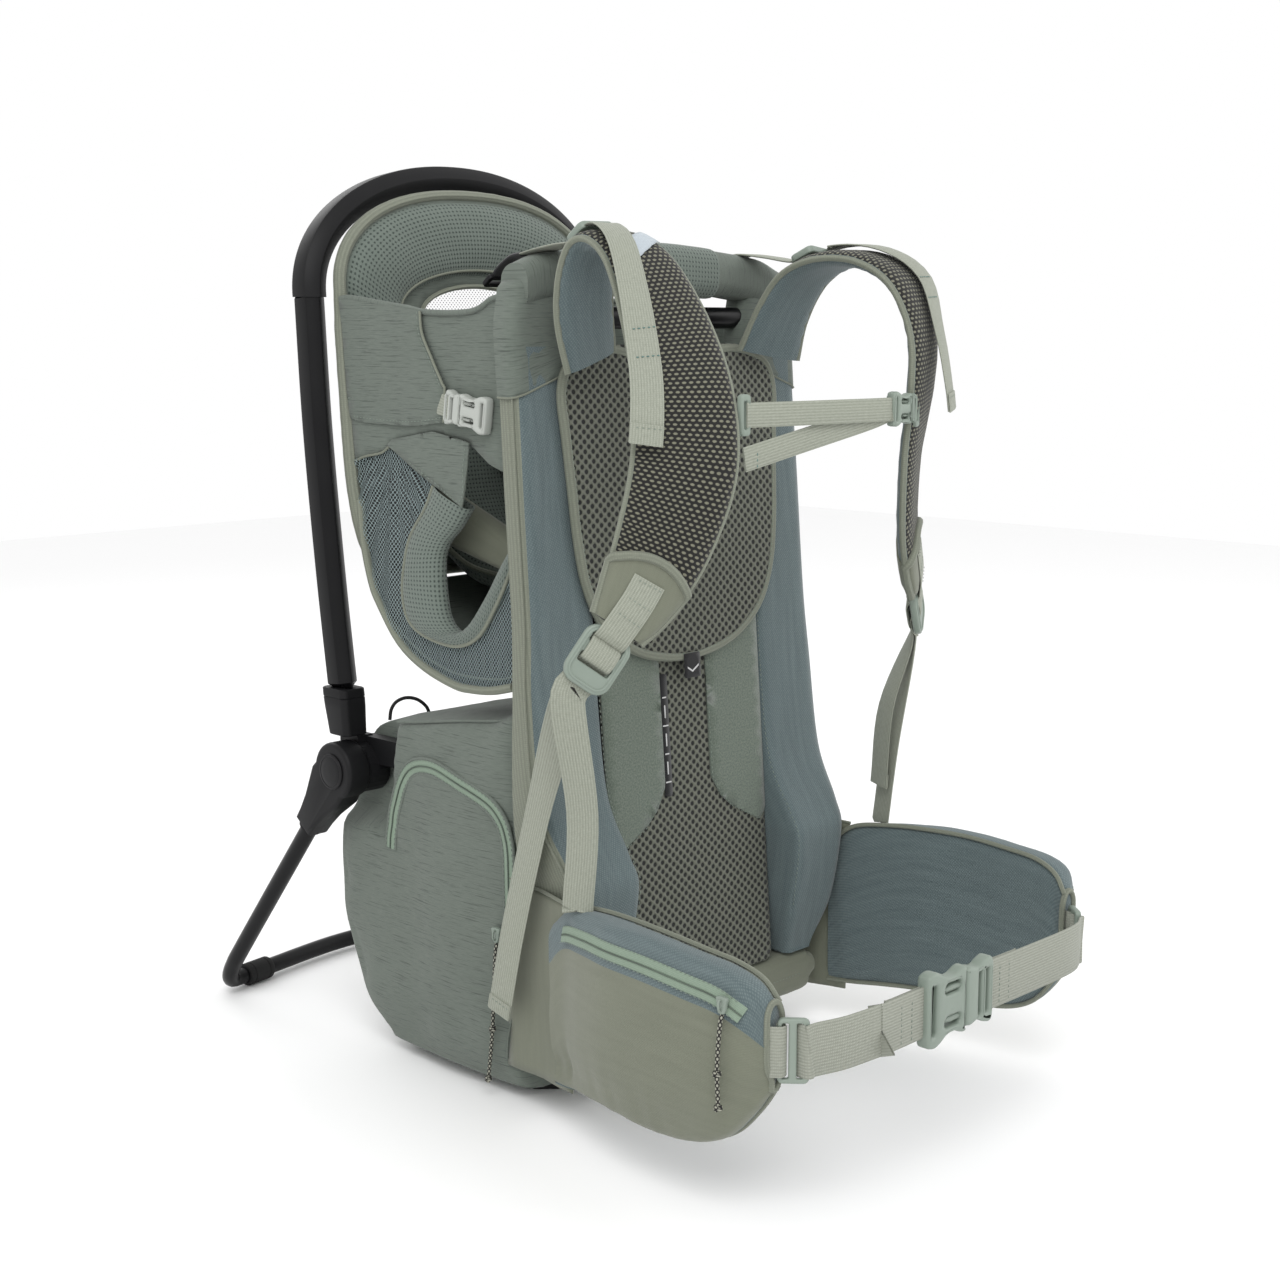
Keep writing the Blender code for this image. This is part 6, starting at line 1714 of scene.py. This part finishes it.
def bag_x(share, y, z, side):
    """How far out the bag's side lies, with its creases and with room for the knuckle."""
    x = float(np.interp(share, *zip(*SWELLING)))
    soft = smooth_step(1.0, 0.90, share)
    low = smooth_step(0.20, 0.05, z)
    x += soft * 0.0016 * (wobble((y, z * 1.4, side), 24, 3) - 0.6)
    x += soft * low * 0.0016 * (math.sin((z + 0.45 * y) / 0.0125 + 3 * wobble((y, z, side), 11)) - 1)
    x -= 0.0040 * smooth_step(0.0, 0.04, y) * smooth_step(1.0, 0.9, share)
    tuck = smooth_step(0.055, 0.078, y) * smooth_step(0.190, 0.210, z)
    return min(x, 0.1345 + (x - 0.1345) * (1 - tuck))


def bag_share(y, z):
    way = np.array((y, z)) - MIDDLE
    turns = np.unwrap(np.arctan2(BAG[:, 1] - MIDDLE[1], BAG[:, 0] - MIDDLE[0]))
    reach = np.linalg.norm(BAG - MIDDLE, axis=1)
    turn = math.atan2(way[1], way[0])
    order = np.argsort((turns - turns[0]) % (2 * math.pi))
    base = (turns - turns[0]) % (2 * math.pi)
    radius = np.interp((turn - turns[0]) % (2 * math.pi), base[order], reach[order], period=2 * math.pi)
    return float(np.linalg.norm(way) / radius)


def bag_spot(side, y, z, lift=0.0):
    return (side * (bag_x(bag_share(y, z), y, z, side) + lift), y, z)


def storage_bag():
    shares = [0.02, 0.12, 0.25, 0.40, 0.52, 0.62, 0.70, 0.77, 0.82, 0.865, 0.90, 0.93, 0.955, 0.972, 0.985, 0.994, 1.0]
    outline = even(BAG, 0.0065, True)
    rings = []
    for side in (-1, 1):
        half = []
        for share in shares:
            ring = []
            for p in outline:
                y, z = MIDDLE + (p - MIDDLE) * share
                ring.append((side * bag_x(share, y, z, side), y, max(z, 0.0048)))
            half.append(ring)
        rings += half if side < 0 else half[::-1]
        if side < 0:
            for x in np.linspace(-0.11, 0.11, 12):
                ring = []
                for y, z in outline:
                    sag = 0.0022 * smooth_step(0.26, 0.29, z) * math.cos(x / 0.11 * 1.4) * (1 + wobble((x, y, 0), 20))
                    ring.append((x, max(y, -0.0995), max(z - sag, 0.0048)))
                rings.append(ring)
    bag = skin("bag_body", rings, HEATHER, "root", sharp=85)
    lay_box(bag.data, bag.data.uv_layers["cloth"])
    swell(bag, 0.007, 3.0, 0.0012)
    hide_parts("storage_bag")


storage_bag()


# %% Bag zip, seams and gussets
def bag_zip():
    arch_line = refine([(0.060, 0.182), (0.055, 0.217), (0.038, 0.250), (0.006, 0.260), (-0.030, 0.252), (-0.070, 0.239),
                        (-0.0845, 0.214), (-0.0865, 0.171), (-0.0830, 0.121), (-0.0760, 0.086)], 10)
    route = even(arch_line, 0.004)
    path = [bag_spot(-1, y, z, 0.0012) for y, z in route]
    wides = []
    for i in range(len(path)):
        along = (Vector(path[min(i + 1, len(path) - 1)]) - Vector(path[max(i - 1, 0)])).normalized()
        y, z = route[i]
        out = Vector((-1, 0, 0)) + Vector((0, -1, 0)) * 0.9 * smooth_step(0.90, 0.99, bag_share(y, z))
        wides.append(along.cross(out.normalized()))
    band("bag_zip_tape", path, wides, 0.011, 0.0012, ZIP_TAPE, "root")
    coil("bag_zip_coil", [bag_spot(-1, y, z, 0.0024) for y, z in route])
    for sign in (-1, 1):
        dashes("bag_zip_stitches" + ("_in" if sign < 0 else "_out"),
               [Vector(p) + w * 0.0048 * sign + Vector((-0.0010, 0, 0)) for p, w in zip(path, wides)], THREAD, "root")
    for sign in (-1, 1):
        cord("bag_zip_welt" + ("_in" if sign < 0 else "_out"),
             even([Vector(p) + w * 0.0062 * sign + Vector((0.0002, 0, 0)) for p, w in zip(path, wides)], 0.004), 0.0013,
             HEATHER, "root", 8)


def bag_seams():
    for side in (-1, 1):
        line = [bag_spot(side, y, z, 0.0002) for y, z in refine([(-0.0905, 0.296), (-0.0905, 0.24), (-0.0895, 0.16),
                (-0.0880, 0.09), (-0.080, 0.035)], 10)]
        cord(mirror_name("bag_seam", side), even(line, 0.004), 0.0009, HEATHER, "root", 8)
        top = [(y, z) for y, z in refine([(-0.092, 0.3125), (-0.060, 0.3065), (-0.020, 0.301), (0.030, 0.293), (0.062, 0.2885)], 8)]
        line = [(side * 0.1475, y, z - 0.0012) for y, z in top]
        cord(mirror_name("bag_top_seam", side), even(line, 0.004), 0.0012, HEATHER, "root", 8)


def gussets():
    """Twill that joins the bag to the wing's root."""
    for side in (-1, 1):
        rows = []
        for z in np.linspace(0.030, 0.186, 22):
            t = (z - 0.030) / 0.156
            row = []
            for s, (x, y) in zip(np.linspace(0, 1, 9), refine([(0.1555, -0.080), (0.1585, -0.100), (0.1610, -0.125),
                                                               (0.1665, -0.150), (0.1700, -0.166)], 2)):
                slack = 0.0016 * wobble((s, z * 6, side), 3) * math.sin(math.pi * s)
                row.append((side * (x + slack - 0.003 * (1 - t) * s), y, z + 0.006 * s * (0.5 - t)))
            rows.append(row)
        web = skin(mirror_name("bag_gusset", side), rows, OLIVE_TWILL, "root", around=False, sharp=80)
        web.modifiers.new("Thickness", "SOLIDIFY").thickness = 0.0012
        edge = [(x + side * 0.0008, y, z) for x, y, z in rows[-1]]
        cord(mirror_name("gusset_binding", side), even(edge, 0.003), 0.0014, BINDING, "root", 8)


bag_zip()
bag_seams()
gussets()
print("bag done")

# %% [markdown]
# ## Zip sliders and cords
# Each slider is a small plate with an eye. A flecked braid hangs from it, ends in a knot, and swings clear of the cloth.
# The bag's top has a short loop of black elastic.

# %% Sliders, pulls and loop
def slider(name, node, centre, body, side):
    axes = ((0, 1, 0), (0, 0, 1), (1, 0, 0))
    shape = [(-0.0042, 0.0055), (0.0042, 0.0055), (0.0040, 0.0010), (0.0026, -0.0055), (-0.0026, -0.0055), (-0.0040, 0.0010)]
    outline = closed_curve(shape[::-1], 4)
    top = plate(name, [outline], 0.0036, 0.0009, centre, axes, SAGE_NYLON, body, side)
    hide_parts(node)
    x, y, z = centre
    bail = [(x + 0.0016, y, z + 0.0040), (x + 0.0036, y, z + 0.0028), (x + 0.0038, y, z - 0.0020), (x + 0.0016, y, z - 0.0044)]
    cord(name + "_bail", [(side * p[0], p[1], p[2]) for p in refine(bail, 4)], 0.0008, SAGE_NYLON, body, 8)


def pull(name, node, route, body, side):
    line = [(side * x, y, z) for x, y, z in refine(route, 12)]
    line = even(line, 0.0015)
    tail = cord(name, line, 0.0015, BRAID, body, 12)
    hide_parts(node)
    low = Vector(line[-1])
    for k, share in enumerate((0.62, 0.985)):
        at = Vector(line[int(share * (len(line) - 1))])
        turns = []
        for t in np.linspace(0, 2 * math.pi * 1.9, 34):
            turns.append(at + Vector((side * 0.0021 * math.cos(t) * 0.6, 0.0022 * math.sin(t), 0.0030 * (t / 12 - 0.5))))
        cord(f"{name}_knot_{k}", turns, 0.0013, BRAID, body, 8)


for side in (-1, 1):
    x = HALF + 0.0603
    tag = mirror_name("hip_zip", side)
    slider(tag + "_slide", mirror_name("hip_zip_slider", side), (x, -0.357, 0.163), tag, side)
    pull(tag + "_braid", mirror_name("hip_zip_pull", side), [(x, -0.357, 0.1562), (x + 0.0030, -0.3575, 0.148),
         (x + 0.0060, -0.358, 0.120), (x + 0.0056, -0.359, 0.091)], tag, side)
x = HALF + 0.0126
slider("bag_slide", "bag_zip_slider", (x, -0.076, 0.138), "bag_zip", -1)
pull("bag_braid", "bag_zip_pull", [(x, -0.076, 0.1314), (x + 0.0015, -0.0755, 0.118), (x + 0.0020, -0.072, 0.060),
     (x + 0.0020, -0.066, 0.014)], "bag_zip", -1)
loop_line = refine([(-0.098, 0.080, 0.2840), (-0.1005, 0.081, 0.291), (-0.107, 0.0845, 0.2975), (-0.116, 0.088, 0.300),
                    (-0.1245, 0.091, 0.2975), (-0.129, 0.093, 0.291), (-0.130, 0.094, 0.2820)], 8)
loop_line = even(loop_line, 0.0015)
elastic = cord("elastic_loop", loop_line, 0.0015, BLACK_CORD := moulded("black_cord", (0.012, 0.012, 0.012),
               (0.035, 0.035, 0.035), 0.8, 0.0002), "root", 12)
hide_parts("cord_loop")

# %% [markdown]
# ## Studio
# A pale floor that fades into the background, two large soft lamps and an even sky: the plain light of a catalogue
# page. The camera stands a little above the middle of the carrier, ahead and to its right.

# %% Floor, lights and camera
def studio():
    paint, tree, shader = new_paint("studio_floor", 0.9)
    shader.inputs["Base Color"].default_value = (0.93, 0.93, 0.93, 1)
    rows = [[(x, y, -0.0006) for x in (-4.0, 4.0)] for y in (-4.0, 4.0)]
    floor = skin("floor", rows, paint, None, around=False)
    world = bpy.data.worlds.new("sky")
    world.use_nodes = True
    sky = world.node_tree.nodes["Background"]
    sky.inputs["Color"].default_value = (1.0, 1.0, 1.0, 1)
    sky.inputs["Strength"].default_value = 1.0
    bpy.context.scene.world = world
    for name, place, size, power in (("key", (-1.6, -1.5, 2.4), 1.6, 33), ("fill", (1.9, -1.4, 1.3), 1.8, 11),
                                     ("rim", (0.3, 2.0, 1.9), 1.4, 11)):
        lamp = bpy.data.lights.new(name, "AREA")
        lamp.energy = power
        lamp.size = size
        holder = bpy.data.objects.new(name, lamp)
        bpy.context.scene.collection.objects.link(holder)
        holder.location = place
        holder.rotation_euler = (Vector((0, 0, 0.35)) - Vector(place)).to_track_quat("-Z", "Y").to_euler()


def camera():
    lens = bpy.data.cameras.new("view")
    lens.sensor_width = 36.0
    lens.lens = 54.98
    holder = bpy.data.objects.new("view", lens)
    bpy.context.scene.collection.objects.link(holder)
    holder.location = (-1.148, -1.192, 0.614)
    holder.rotation_euler = (math.radians(80.8), 0, math.radians(-45.8))
    bpy.context.scene.camera = holder
    bpy.context.scene.view_settings.view_transform = "Standard"


studio()
camera()
